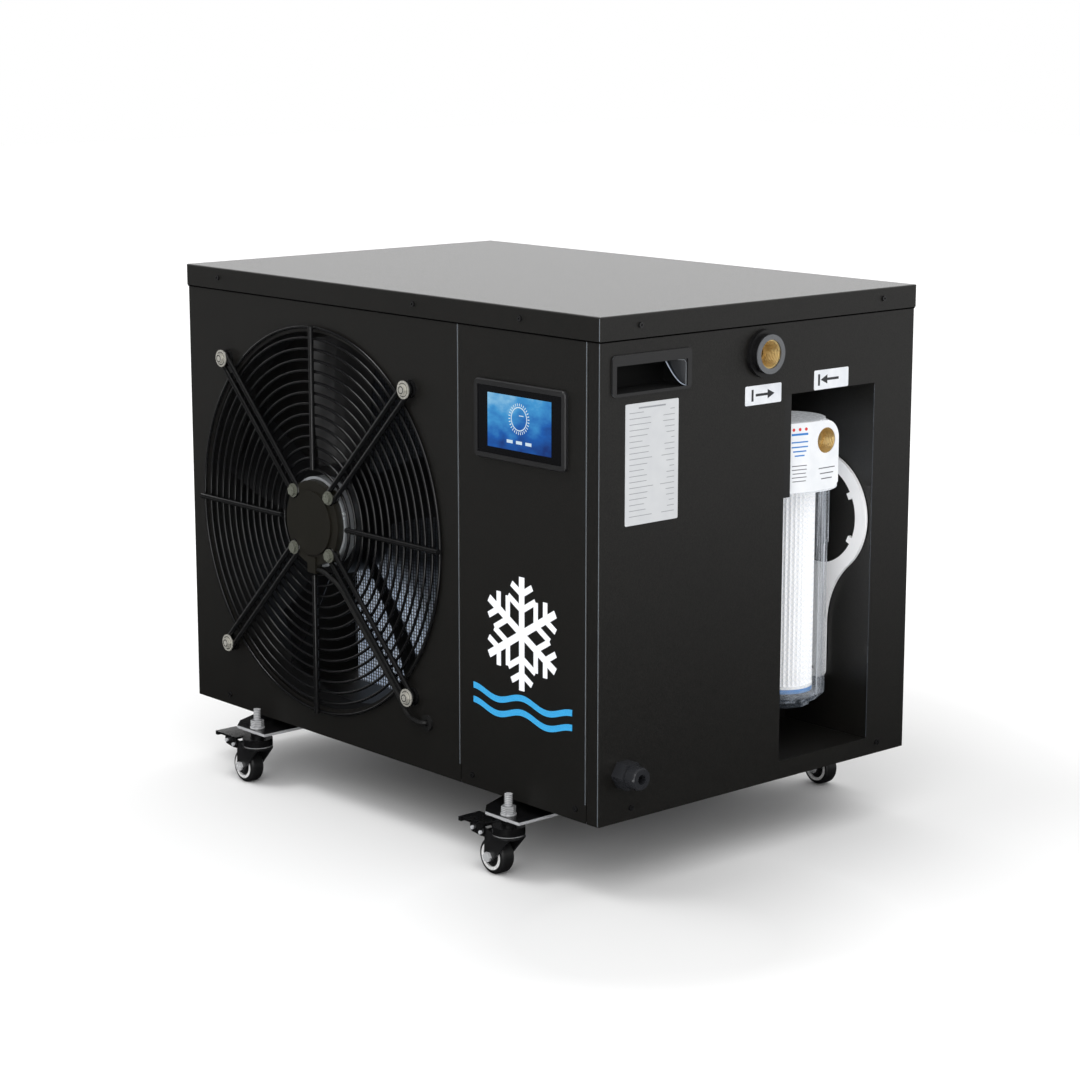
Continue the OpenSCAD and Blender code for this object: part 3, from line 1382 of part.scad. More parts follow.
// Inside: condenser, compressor, evaporator, pump, electric box, hoses and pipes
cond_right = divider_x - 7*divider_gap;
cond_left = max(cond_right - cond_w, -control_x + 2*divider_gap);
cond_top = lid_under - 5*divider_gap;
bend_share = 0.3;
module condenser() {
    row = (cond_top - pan_rim)/cond_rows;
    placed() {
        color(zinc) translate([cond_left, cond_y, floor_z]) cube([cond_right - cond_left, cond_t, cond_top - floor_z]);
        color(copper) for (k = [0:cond_rows - 1]) translate([cond_right, cond_y + cond_t/2, pan_rim + (k + 0.5)*row])
            rotate([90, -90, 0]) rotate_extrude(angle = 180) translate([row*bend_share, 0]) circle(r = pipe_r, $fn = 24);
    }
}
foot_h = 9;
foot_r = 9;
shell_round = 18;
module compressor() {
    placed() translate([comp_x, comp_y, floor_z]) {
        color(black_coat) {
            z_rod(comp_r, foot_h + shell_round, comp_h - shell_round);
            for (z = [foot_h, comp_h - shell_round]) z_rod(comp_r - shell_round/2, z, z + shell_round);
            z_rod(comp_r/3, comp_h, comp_h + foot_h);
            up_slab(foot_h, foot_h + bracket_t) circle(r = comp_r*1.32, $fn = 3);
        }
        color(black_plastic) for (a = [0:120:240]) rotate([0, 0, a]) translate([comp_r*1.1, 0, 0]) z_rod(foot_r, 0, foot_h);
    }
}
evap = [74, 38, 300];
evap_gap = 16;
evap_x = divider_x + evap_gap;
evap_y = -in_y - evap[1] - foot_h;
evap_port = 15;
evap_stub = 8;
module evaporator() {
    placed() color(zinc) translate([evap_x, evap_y, floor_z]) {
        cube(evap);
        for (x = [evap_port, evap[0] - evap_port], z = [2*evap_port, evap[2] - 2*evap_port])
            translate([x, 0, z]) y_rod(hose_r, -evap_stub, 0);
    }
}
pump_gap = 16;
pump_back = 68;
pump_r = 36;
pump_x = divider_x + pump_gap + pump_r;
pump_y = evap_y - pump_back;
volute_h = 54;
pump_h = 152;
module water_pump() {
    placed() color([0.12, 0.14, 0.18]) translate([pump_x, pump_y, floor_z]) {
        z_rod(pump_r, 0, volute_h);
        z_rod(pump_r - 2*sheet, volute_h, pump_h);
        z_rod(hose_r, pump_h, pump_h + 2*evap_stub);
        translate([evap_x + evap_port - pump_x, 0, 2*evap_port])
            y_rod(hose_r, 0, pump_r + evap_stub - 2*sheet);
    }
}
board_t = 2;
module electric_box() {
    placed() translate([divider_x, ebox_y, ebox_z]) {
        color([0.6, 0.62, 0.63]) difference() {
            cube(ebox);
            translate([sheet, sheet, sheet]) cube([ebox[0], ebox[1] - 2*sheet, ebox[2] - 2*sheet]);
        }
        color([0.1, 0.35, 0.2]) translate([sheet, 2*foot_r, foot_r]) cube([board_t, ebox[1] - 4*foot_r, ebox[2] - 2*foot_r]);
        color(black_plastic) for (k = [1:3]) translate([sheet + board_t, ebox[1]*k/4, ebox[2]/2]) x_rod(foot_r, 0, 3*foot_r);
    }
}
hose_gap = 0.3;
barb_x = outlet_front - fitting_len;
module water_hoses() {
    px = evap_x + evap_port;
    placed() color(black_plastic) {
        swept([[recess_back - boss_out - hose_gap, inlet_y, inlet_z], [recess_back - 22, inlet_y, inlet_z],
            [pump_x, pump_y - 6, inlet_z - 24], [pump_x, pump_y, inlet_z - 60],
            [pump_x, pump_y, floor_z + pump_h + 2*evap_stub + hose_gap]], hose_r, 5, 12);
        swept([[px, pump_y + pump_r + evap_stub - 2*sheet + hose_gap, floor_z + 2*evap_port],
            [px, evap_y - evap_stub - hose_gap, floor_z + 2*evap_port]], hose_r, 1, 12);
        swept([[px, evap_y - evap_stub - hose_gap, floor_z + evap[2] - 2*evap_port], [px, evap_y - 26, evap_top - 27],
            [px - 4, evap_y - 36, evap_top + 7], [px - 2, evap_y - 46, outlet_z - 47], [px + 10, evap_y - 80, outlet_z - 8], [px + 50, outlet_y + 27, outlet_z],
            [barb_x - 30, outlet_y, outlet_z], [barb_x - hose_gap, outlet_y, outlet_z]], hose_r, 5, 12);
    }
}
comp_z = floor_z + comp_h;
evap_top = floor_z + evap[2];
module copper_pipes() {
    px = evap_x + evap[0] - evap_port;
    win_y = pipe_y;
    cond_back = cond_y + cond_t + hose_gap;
    placed() color(copper) {
        swept([[comp_x - 30, comp_y + 20, comp_z + hose_gap], [comp_x - 30, comp_y + 26, comp_z + 25],
            [comp_x - 50, comp_y + 60, comp_z + 37], [divider_x + 14, comp_y + 132, comp_z + 87], [divider_x + 12, win_y - 20, pipe_top_z - 10],
            [divider_x, win_y, pipe_top_z], [divider_x - 14, win_y - 4, pipe_top_z], [cond_right - 24, win_y - 60, pipe_top_z],
            [cond_right - 26, cond_back, pipe_top_z]], pipe_r, 5, 8);
        swept([[cond_right - 26, cond_back, pipe_low_z], [cond_right - 24, win_y - 60, pipe_low_z],
            [divider_x - 8, win_y - 4, pipe_low_z], [divider_x + 12, win_y, pipe_low_z], [px - 20, evap_y - 24, pipe_low_z],
            [px, evap_y - 24, floor_z + 4*evap_port], [px, evap_y - 19, floor_z + 2*evap_port + 3],
            [px, evap_y - evap_stub - hose_gap, floor_z + 2*evap_port]],
            pipe_r, 5, 8);
        swept([[px, evap_y - evap_stub - hose_gap, floor_z + evap[2] - 2*evap_port], [px, evap_y - 22, evap_top - 29],
            [px + 6, evap_y - 40, evap_top - 13], [px + 8, comp_y + 152, comp_z + 87], [comp_x - 10, comp_y + 82, comp_z + 57],
            [comp_x, comp_y + 36, comp_z + 32], [comp_x, comp_y + 30, comp_z + hose_gap]], pipe_r, 5, 8);
    }
}

base_pan();
caster_rails();
lid();
fan_panel();
control_panel();
side_panel_right();
side_panel_left();
back_panel();
vent_grille();
recess_box();
divider_wall();
case_screws();
carry_handles();
fan_guard();
guard_arms();
fan_bolts();
motor_stator();
fan_cable();
cable_grommet();
condenser();
compressor();
evaporator();
water_pump();
electric_box();
water_hoses();
copper_pipes();
screen_bezel();
touch_screen();
front_sign();
outlet_fitting();
outlet_nut();
filter_head();
filter_port();
filter_bracket();
filter_label();
cable_gland();
caster_studs();
fan_rotor();
fan_blades();
filter_bowl();
filter_cartridge();
filter_wrench();
color(black_plastic) at_caster(stud_left, -stud_y) fork(true);  // fork_front_left
color(black_plastic) at_caster(stud_right, -stud_y) fork(true);  // fork_front_right
color(black_plastic) at_caster(stud_left, stud_y) fork(false);  // fork_rear_left
color(black_plastic) at_caster(stud_right, stud_y) fork(false);  // fork_rear_right
color(zinc) at_caster(stud_left, -stud_y) axle();  // axle_front_left
color(zinc) at_caster(stud_right, -stud_y) axle();  // axle_front_right
color(zinc) at_caster(stud_left, stud_y) axle();  // axle_rear_left
color(zinc) at_caster(stud_right, stud_y) axle();  // axle_rear_right
color(black_plastic) at_caster(stud_left, -stud_y) tyre();  // tyre_front_left
color(black_plastic) at_caster(stud_right, -stud_y) tyre();  // tyre_front_right
color(black_plastic) at_caster(stud_left, stud_y) tyre();  // tyre_rear_left
color(black_plastic) at_caster(stud_right, stud_y) tyre();  // tyre_rear_right
color(white_plastic) at_caster(stud_left, -stud_y) rim();  // rim_front_left
color(white_plastic) at_caster(stud_right, -stud_y) rim();  // rim_front_right
color(white_plastic) at_caster(stud_left, stud_y) rim();  // rim_rear_left
color(white_plastic) at_caster(stud_right, stud_y) rim();  // rim_rear_right
color(black_plastic) at_caster(stud_left, -stud_y) pedal();  // pedal_left
color(black_plastic) at_caster(stud_right, -stud_y) pedal();  // pedal_right
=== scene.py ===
"""The looks of an ice bath chiller: finishes for its solids, its printed plates, the lamps and the camera."""
from __future__ import annotations

import logging
import math
from dataclasses import dataclass, field
from enum import Enum

import bmesh
import bpy
import numpy as np
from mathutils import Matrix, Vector

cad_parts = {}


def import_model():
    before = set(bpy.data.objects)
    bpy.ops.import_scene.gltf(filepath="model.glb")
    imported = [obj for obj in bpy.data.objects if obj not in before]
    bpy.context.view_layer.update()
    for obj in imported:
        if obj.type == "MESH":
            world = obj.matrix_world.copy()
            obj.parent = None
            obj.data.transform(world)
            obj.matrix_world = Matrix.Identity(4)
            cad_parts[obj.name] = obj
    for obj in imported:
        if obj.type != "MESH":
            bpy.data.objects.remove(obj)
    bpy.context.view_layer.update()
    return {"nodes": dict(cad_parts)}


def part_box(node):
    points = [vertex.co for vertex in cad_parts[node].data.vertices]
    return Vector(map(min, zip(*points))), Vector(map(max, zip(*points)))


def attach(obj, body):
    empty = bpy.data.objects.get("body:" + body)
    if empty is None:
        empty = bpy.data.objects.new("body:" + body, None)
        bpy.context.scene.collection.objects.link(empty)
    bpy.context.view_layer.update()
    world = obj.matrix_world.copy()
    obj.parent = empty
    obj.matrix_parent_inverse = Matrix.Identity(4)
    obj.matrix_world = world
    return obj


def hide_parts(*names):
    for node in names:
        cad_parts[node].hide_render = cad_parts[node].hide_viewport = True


LOG = logging.getLogger("chiller")
Colour = tuple[float, float, float]
WASHER_GAP_SHADE = (0.0030, 0.0042)
WASHER_EDGE_SHADE = (0.0066, 0.0074)
BEAD_SIDES = 8
SCOOP_DEPTH = 0.010
RIM_SWEEP = 0.028


def srgb(r: float, g: float, b: float) -> Colour:
    """Turns 0-255 screen values into the linear colour that a shader takes.

    Args:
        r: red, 0 to 255.
        g: green, 0 to 255.
        b: blue, 0 to 255.

    Returns:
        The linear colour.
    """
    def lin(v: float) -> float:
        """The sRGB curve for one channel."""
        c = v / 255
        return c / 12.92 if c <= 0.04045 else ((c + 0.055) / 1.055) ** 2.4
    return lin(r), lin(g), lin(b)


def shaded(colour: Colour, share: float) -> Colour:
    """The colour times a share, each channel 1 at most."""
    return tuple(min(1, c * share) for c in colour)


class Value:
    """A shader socket that takes part in Python arithmetic."""

    def __init__(self, sheet: "Sheet", socket) -> None:
        """Keeps the socket and the node tree that it belongs to."""
        self.sheet = sheet
        self.socket = socket

    def _math(self, op: str, a, b=None) -> "Value":
        """One Math node with that operation on one or two inputs."""
        inputs = {i: v for i, v in enumerate((a, b)) if v is not None}
        return self.sheet.node("ShaderNodeMath", {"operation": op}, inputs)

    def __add__(self, other) -> "Value":
        """Sum."""
        return self._math("ADD", self, other)

    __radd__ = __add__

    def __sub__(self, other) -> "Value":
        """Difference."""
        return self._math("SUBTRACT", self, other)

    def __rsub__(self, other) -> "Value":
        """Difference the other way round."""
        return self._math("SUBTRACT", other, self)

    def __mul__(self, other) -> "Value":
        """Product."""
        return self._math("MULTIPLY", self, other)

    __rmul__ = __mul__

    def __truediv__(self, other) -> "Value":
        """Quotient."""
        return self._math("DIVIDE", self, other)

    def __lt__(self, other) -> "Value":
        """1 where this is less than the other."""
        return self._math("LESS_THAN", self, other)

    def __gt__(self, other) -> "Value":
        """1 where this is more than the other."""
        return self._math("GREATER_THAN", self, other)

    def power(self, e: float) -> "Value":
        """This to the power e."""
        return self._math("POWER", self, e)

    def root(self) -> "Value":
        """Square root."""
        return self._math("SQRT", self)

    def size(self) -> "Value":
        """Absolute value."""
        return self._math("ABSOLUTE", self)

    def wave(self, pitch: float) -> "Value":
        """A wave from 0 to 1 whose crests stand pitch apart."""
        return self._math("SINE", self * (2 * math.pi / pitch)) * 0.5 + 0.5

    def loop(self, pitch: float) -> "Value":
        """The remainder after whole steps of pitch, from 0 to pitch."""
        return self._math("FLOORED_MODULO", self, pitch)

    def between(self, lo: float, hi: float) -> "Value":
        """1 from lo to hi, else 0."""
        return (self > lo) * (self < hi)

    def ramp(self, lo: float, hi: float, out_lo: float = 0.0, out_hi: float = 1.0) -> "Value":
        """Maps lo..hi to out_lo..out_hi, clamped."""
        inputs = {"Value": self, "From Min": lo, "From Max": hi, "To Min": out_lo, "To Max": out_hi}
        return self.sheet.node("ShaderNodeMapRange", {"clamp": True}, inputs)


class Sheet:
    """One material's node tree, with its one Principled shader."""

    def __init__(self, name: str) -> None:
        """Starts an empty node material with that name."""
        self.material = bpy.data.materials.new(name)
        self.material.use_nodes = True
        self.tree = self.material.node_tree
        self.tree.nodes.clear()
        out = self.tree.nodes.new("ShaderNodeOutputMaterial")
        self.shader = self.tree.nodes.new("ShaderNodeBsdfPrincipled")
        self.tree.links.new(self.shader.outputs[0], out.inputs[0])

    def node(self, kind: str, settings: dict | None = None, inputs: dict | None = None,
             output: int | str = 0) -> Value:
        """Adds one node.

        Args:
            kind: the node's type.
            settings: attributes that are set first, or "stops" for a colour ramp.
            inputs: socket name or number to a number, a colour or a Value.
            output: which output to return.

        Returns:
            The chosen output as a Value.
        """
        n = self.tree.nodes.new(kind)
        for k, v in (settings or {}).items():
            if k == "stops":
                while len(n.color_ramp.elements) < len(v):
                    n.color_ramp.elements.new(0.5)
                for e, (at, colour) in zip(n.color_ramp.elements, v):
                    e.position = at
                    e.color = (*colour, 1)
            else:
                setattr(n, k, v)
        for k, v in (inputs or {}).items():
            self.plug(n.inputs[k], v)
        return Value(self, n.outputs[output])

    def plug(self, socket, v) -> None:
        """Sets a socket to a number or a colour, or links a Value to it."""
        if isinstance(v, Value):
            self.tree.links.new(v.socket, socket)
        elif isinstance(v, (tuple, list)) and len(v) == 3 and socket.type == "RGBA":
            socket.default_value = (*v, 1)
        else:
            socket.default_value = v

    def set(self, **inputs) -> None:
        """Feeds the Principled shader: underscores in the names stand for spaces."""
        for k, v in inputs.items():
            self.plug(self.shader.inputs[k.replace("_", " ")], v)

    def split(self, vector: Value) -> tuple[Value, Value, Value]:
        """A vector's X, Y and Z."""
        n = self.tree.nodes.new("ShaderNodeSeparateXYZ")
        self.plug(n.inputs[0], vector)
        return tuple(Value(self, o) for o in n.outputs)

    def place(self) -> tuple[Value, Value, Value]:
        """The point's X, Y and Z in the object's frame, in metres."""
        return self.split(self.point())

    def point(self) -> Value:
        """The point in the object's frame as a vector."""
        return self.node("ShaderNodeTexCoord", output="Object")

    def facing(self) -> tuple[Value, Value, Value]:
        """The surface's normal, split into X, Y and Z."""
        return self.split(self.node("ShaderNodeTexCoord", output="Normal"))

    def noise(self, scale: float, detail: float = 2.0, rough: float = 0.5,
              stretch: tuple[float, float, float] = (1, 1, 1)) -> Value:
        """Noise whose cells are about 1/scale of a metre across, optionally stretched along an axis."""
        m = self.node("ShaderNodeMapping", {}, {"Vector": self.point(), "Scale": stretch})
        inputs = {"Vector": m, "Scale": scale, "Detail": detail, "Roughness": rough}
        return self.node("ShaderNodeTexNoise", {}, inputs)

    def mix(self, mask, a, b) -> Value:
        """Colour a where the mask is 0 and b where it is 1."""
        return self.node("ShaderNodeMix", {"data_type": "RGBA"}, {0: mask, 6: a, 7: b}, 2)

    def clouded(self, cloud: Value, colour: Colour, spread: float) -> Value:
        """The colour, darker by a share where the cloud is low and paler where it is high."""
        return self.mix(cloud.ramp(0.3, 0.7), shaded(colour, 1 - spread), shaded(colour, 1 + spread))

    def bump(self, height: Value, depth: float) -> None:
        """Bumps the normal by that height in metres."""
        inputs = {"Height": height, "Distance": depth, "Strength": 1.0}
        self.set(Normal=self.node("ShaderNodeBump", {}, inputs))


class Stencil:
    """Flat shapes on a plate, as masks over two coordinates in metres."""

    def __init__(self, u: Value, v: Value) -> None:
        """Keeps the two coordinates, from the plate's middle to the right and up."""
        self.u = u
        self.v = v

    def bar(self, x: float, y: float, w: float, h: float) -> Value:
        """1 inside a w by h rectangle whose middle is x, y."""
        return ((self.u - x).size() < w / 2) * ((self.v - y).size() < h / 2)

    def disc(self, x: float, y: float, r: float) -> Value:
        """1 inside a circle."""
        return ((self.u - x).power(2) + (self.v - y).power(2)) < r * r

    def ring(self, x: float, y: float, r: float, line: float) -> Value:
        """1 on a circle's line."""
        return self.disc(x, y, r + line / 2) - self.disc(x, y, r - line / 2)

    def wedge(self, x: float, y: float, w: float, h: float) -> Value:
        """1 inside a triangle from its base at x to its tip w further on."""
        away = (self.u - x) * math.copysign(1, w)
        return (away > 0) * ((self.v - y).size() < (abs(w) - away) * (h / 2 / abs(w)))


@dataclass(frozen=True)
class PowderCoat:
    """Baked black powder coat: a leathery grain at two scales, and painted shade, darker and duller, behind a
    depth.
    """

    name: str = "powder_coat"
    colour: Colour = srgb(18, 17, 15)
    rough: float = 0.4
    grain: float = 1300.0
    depth: float = 0.00007
    shade_from: float = 9.0

    def build(self) -> bpy.types.Material:
        """Builds the material.

        Returns:
            The material.
        """
        s = Sheet(self.name)
        fine = s.noise(self.grain, 2.0, 0.6)
        coarse = s.noise(self.grain * 0.54, 2.0, 0.6)
        cloud = s.noise(9.0, 3.0)
        _, y, _ = s.place()
        # Behind the depth the coat turns near black and rougher: painted shade.
        shade_zone = y > self.shade_from
        tone = (fine + coarse).ramp(0.75, 1.3, 0.3, 1.7) * cloud.ramp(0.2, 0.8, 0.92, 1.08)
        coat = s.mix(tone.ramp(0.2, 1.8), shaded(self.colour, 0.2), shaded(self.colour, 2.2))
        s.set(Base_Color=s.mix(shade_zone, coat, (0.0006, 0.0006, 0.0006)),
              Roughness=fine.ramp(0.2, 0.8, self.rough - 0.06, self.rough + 0.08) + shade_zone * 0.4)
        s.bump(fine + coarse * 1.4, self.depth)
        return s.material


@dataclass(frozen=True)
class Metal:
    """Bare or plated metal with fine scratches and a cloudy sheen."""

    name: str
    colour: Colour
    rough: float = 0.3
    cloud: float = 60.0
    uneven: float = 0.12
    bare: float = 0.72

    def build(self) -> bpy.types.Material:
        """Builds the material."""
        s = Sheet(self.name)
        cloud = s.noise(self.cloud, 4.0, 0.6)
        scratch = s.noise(900.0, 2.0, 0.5, (1, 1, 0.06))
        s.set(Base_Color=s.clouded(cloud, self.colour, self.uneven), Metallic=self.bare,
              Roughness=cloud.ramp(0.2, 0.8, self.rough - 0.06, self.rough + 0.1))
        s.bump(scratch, 0.00001)
        return s.material


@dataclass(frozen=True)
class Plastic:
    """Moulded plastic or rubber, finely textured, darker and duller in its shade_core's half width: painted
    shade.
    """

    name: str
    colour: Colour
    rough: float = 0.4
    grain: float = 2200.0
    depth: float = 0.00002
    spread: float = 0.12
    shine: float = 0.5
    shade_core: tuple[float, float] = (0.0, -1.0)

    def build(self) -> bpy.types.Material:
        """Builds the material."""
        s = Sheet(self.name)
        s.set(Specular_IOR_Level=self.shine)
        fine = s.noise(self.grain, 2.0)
        cloud = s.noise(25.0, 3.0)
        tone = s.clouded(cloud, self.colour, self.spread)
        rough = cloud.ramp(0.2, 0.8, self.rough - 0.05, self.rough + 0.07)
        # Within the half width the tone turns near black and rougher: painted shade.
        if self.shade_core[1] > 0:
            inside = (s.place()[0] - self.shade_core[0]).size() < self.shade_core[1]
            tone = s.mix(inside, tone, (0.0004, 0.0006, 0.0009))
            rough = rough + inside * 0.45
        s.set(Base_Color=tone, Roughness=rough)
        s.bump(fine, self.depth)
        return s.material


@dataclass(frozen=True)
class ClearPlastic:
    """Clear housing plastic with slight flow marks, denser where it is seen edge on."""

    name: str
    colour: Colour = srgb(206, 213, 222)
    rough: float = 0.07
    thin: float = 0.02
    thick: float = 0.3
    dark_below: float = -1.0
    # Emission strength: where set, a glow of painted light.
    glow: float = 0.0

    def build(self) -> bpy.types.Material:
        """Builds the material: its alpha grows as the surface turns away, its foot is darker, and pale
        streaks are painted highlights.
        """
        s = Sheet(self.name)
        flow = s.noise(40.0, 3.0, 0.5, (1, 1, 0.3))
        turned = s.node("ShaderNodeLayerWeight", inputs={"Blend": 0.5}, output="Facing")
        _, _, z = s.place()
        foot = z.ramp(self.dark_below, self.dark_below + 0.012, 1.0, 0.0)
        # Pale streaks at the foot and the glint streaks are painted highlights of the ribs.
        rib_highlight = s.noise(70.0, 1.0, 0.5, (1, 1, 0.04)).ramp(0.5, 0.6)
        deep = s.mix(rib_highlight, srgb(70, 76, 84), srgb(168, 176, 186))
        glint = s.noise(210.0, 1.0, 0.5, (1, 1, 0.02)).ramp(0.56, 0.64) * turned.ramp(0.25, 0.6) * 0.5
        skin = turned.power(2.6).ramp(0.0, 1.0, self.thin, self.thick)
        s.set(Base_Color=s.mix(foot, self.colour, deep),
              Roughness=flow.ramp(0.3, 0.8, self.rough, self.rough + 0.05),
              Alpha=(skin + glint + foot * 0.35).ramp(0.0, 1.0), IOR=1.46,
              Emission_Color=self.colour, Emission_Strength=self.glow)
        s.bump(flow, 0.0002)
        return s.material


@dataclass(frozen=True)
class WheelPaint:
    """A caster's wheel: a black hub with a pale ring and a metal centre."""

    name: str
    centre: tuple[float, float]
    ring_in: float
    ring_out: float

    def build(self) -> bpy.types.Material:
        """Builds the material: the ring is where the distance to the axle lies between the two radii."""
        s = Sheet(self.name)
        x, _, z = s.place()
        r = ((x - self.centre[0]).power(2) + (z - self.centre[1]).power(2)).root()
        ring = r.between(self.ring_in, self.ring_out)
        grit = s.noise(700.0, 3.0)
        white = s.mix(grit.ramp(0.35, 0.7), srgb(196, 196, 196), srgb(236, 236, 236))
        s.set(Base_Color=s.mix(ring, srgb(26, 26, 26), white), Roughness=ring.ramp(0, 1, 0.35, 0.45))
        s.bump(grit, 0.00002)
        return s.material


@dataclass(frozen=True)
class SignFilm:
    """The front sign's film: white above a height, a two-tone blue below it."""

    name: str
    split: float

    def build(self) -> bpy.types.Material:
        """Builds the material."""
        s = Sheet(self.name)
        x, _, z = s.place()
        speck = s.noise(2500.0, 1.0)
        white = s.mix(speck.ramp(0.4, 0.6), srgb(232, 236, 242), srgb(246, 248, 251))
        blue = s.mix(speck.ramp(0.35, 0.65), srgb(20, 140, 205), srgb(60, 175, 228))
        s.set(Base_Color=s.mix(z > self.split, blue, white), Roughness=speck.ramp(0.2, 0.8, 0.3, 0.42))
        s.bump(speck, 0.00001)
        return s.material


@dataclass(frozen=True)
class FinStack:
    """The condenser: bluish upright fins with louvres, painted shade in their gaps and above a height.

    A faint emission lights one round patch: its middle in X and in Z and then its radius, in metres.
    """

    name: str
    lit: tuple[float, float, float]
    glow: float = 0.35
    pitch: float = 0.0045
    louvre: float = 0.0038
    shade_above: float = 0.19
    fade: float = 0.05
    soft: float = 0.02

    def build(self) -> bpy.types.Material:
        """Builds the material: a wave along X parts the fins and one along Z cuts the louvres."""
        s = Sheet(self.name)
        x, _, z = s.place()
        fin = x.wave(self.pitch).ramp(0.22, 0.4)
        cut = z.wave(self.louvre).ramp(0.15, 0.4)
        wear_and_highlight = s.noise(35.0, 4.0)
        alloy = s.mix(wear_and_highlight.ramp(0.3, 0.7), srgb(196, 212, 236), srgb(222, 232, 246))
        # Above the height the fins fade to painted shade.
        low = z.ramp(self.shade_above, self.shade_above + self.fade, 1.0, 0.08)
        shown = fin * cut.ramp(0, 1, 0.3, 1.0) * low
        away = ((x - self.lit[0]).power(2) + (z - self.lit[1]).power(2)).root()
        pool = away.ramp(self.lit[2] - self.soft, self.lit[2], 1.0, 0.0)
        # The near black between fins and in the louvres is painted shade in the gaps.
        s.set(Base_Color=s.mix(shown, srgb(8, 10, 16), alloy), Metallic=fin * 0.1,
              Roughness=wear_and_highlight.ramp(0.2, 0.8, 0.4, 0.55),
              Emission_Color=s.mix(shown * pool, (0, 0, 0), alloy), Emission_Strength=self.glow)
        s.bump(fin * cut, 0.0004)
        return s.material


@dataclass(frozen=True)
class ZoneMetal:
    """Plated metal with a black zone: below a height, behind a depth, or, as painted shade, on the faces that
    look up.
    """

    name: str
    colour: Colour
    rough: float = 0.25
    bare: float = 0.45
    low: tuple[float, float] = (-9.0, -9.0)
    race: tuple[float, float] = (-9.0, -9.0)
    deep: tuple[float, float] = (9.0, 9.0)
    up: bool = False
    hub: tuple[float, float, float] = (0.0, 0.0, 0.0)
    reach: tuple[float, float] = (0.0, 0.0)
    thread: float = 0.0

    def build(self) -> bpy.types.Material:
        """Builds the material: the zones are ranges of Z and of Y, the hub's disc is greener, and washer
        rings get painted shade.
        """
        s = Sheet(self.name)
        x, y, z = s.place()
        cloud = s.noise(70.0, 3.0, 0.6)
        zinc = s.mix(cloud.ramp(0.3, 0.7), shaded(self.colour, 0.88), shaded(self.colour, 1.1))
        near = ((x - self.hub[0]).power(2) + (z - self.hub[1]).power(2)) < self.hub[2] ** 2
        plated = s.mix(near, zinc, srgb(112, 114, 104))
        # Dark rings round each bolt's washer are painted shade.
        if self.reach[0]:
            across = (x - self.hub[0]).size() - self.reach[0]
            up = (z - self.hub[1]).size() - self.reach[1]
            away = (across.power(2) + up.power(2)).root()
            rings = away.between(*WASHER_GAP_SHADE) + away.between(*WASHER_EDGE_SHADE)
            plated = s.mix(rings, plated, srgb(58, 58, 56))
        # Dark bands along Z are painted shade in the thread's grooves.
        if self.thread:
            plated = s.mix(z.wave(self.thread).ramp(0.55, 0.9) * 0.6, plated, srgb(74, 76, 80))
        black = z.between(*self.low) * (1 - z.between(*self.race)) + y.between(*self.deep)
        # Faces that look up turn black: painted shade under the cabinet.
        if self.up:
            black = black + (s.facing()[2] > 0.9)
        mask = black.ramp(0, 1)
        s.set(Base_Color=s.mix(mask, plated, srgb(14, 14, 15)), Metallic=(1 - mask) * self.bare,
              Roughness=cloud.ramp(0.2, 0.8, self.rough - 0.04, self.rough + 0.08))
        return s.material


@dataclass(frozen=True)
class CollarPlastic:
    """Black plastic whose outer face is a mid grey."""

    name: str
    face: float
    skin: float = 0.0012

    def build(self) -> bpy.types.Material:
        """Builds the material: the face is the ring that stands furthest out along X."""
        s = Sheet(self.name)
        x, _, _ = s.place()
        fine = s.noise(1500.0, 2.0)
        face = s.mix(fine.ramp(0.3, 0.7), srgb(84, 86, 89), srgb(100, 102, 105))
        s.set(Base_Color=s.mix(x > self.face - self.skin, srgb(15, 15, 16), face),
              Roughness=fine.ramp(0.2, 0.8, 0.34, 0.42))
        s.bump(fine, 0.00002)
        return s.material


@dataclass(frozen=True)
class PleatPaper:
    """Filter paper: a criss-cross net on the pleats, and blue end caps."""

    name: str
    centre: tuple[float, float]
    low: float
    high: float
    radius: float = 0.031
    cell: float = 0.006
    glow: float = 0.06

    def build(self) -> bpy.types.Material:
        """Builds the material from the angle round the axis and the height."""
        s = Sheet(self.name)
        x, y, z = s.place()
        inputs = {0: y - self.centre[1], 1: x - self.centre[0]}
        girth = s.node("ShaderNodeMath", {"operation": "ARCTAN2"}, inputs) * self.radius
        net = (girth + z).wave(self.cell).ramp(0.85, 1.0) + (girth - z).wave(self.cell).ramp(0.85, 1.0)
        cap = (z < self.low) + (z > self.high)
        paper = s.mix(net.ramp(0, 1), srgb(252, 252, 253), srgb(236, 240, 245))
        # The faint white emission is painted light that brightens the paper.
        s.set(Base_Color=s.mix(cap, paper, srgb(40, 130, 205)), Roughness=cap.ramp(0, 1, 0.8, 0.35),
              Emission_Color=(1, 1, 1), Emission_Strength=self.glow)
        s.bump(net, 0.00008)
        return s.material


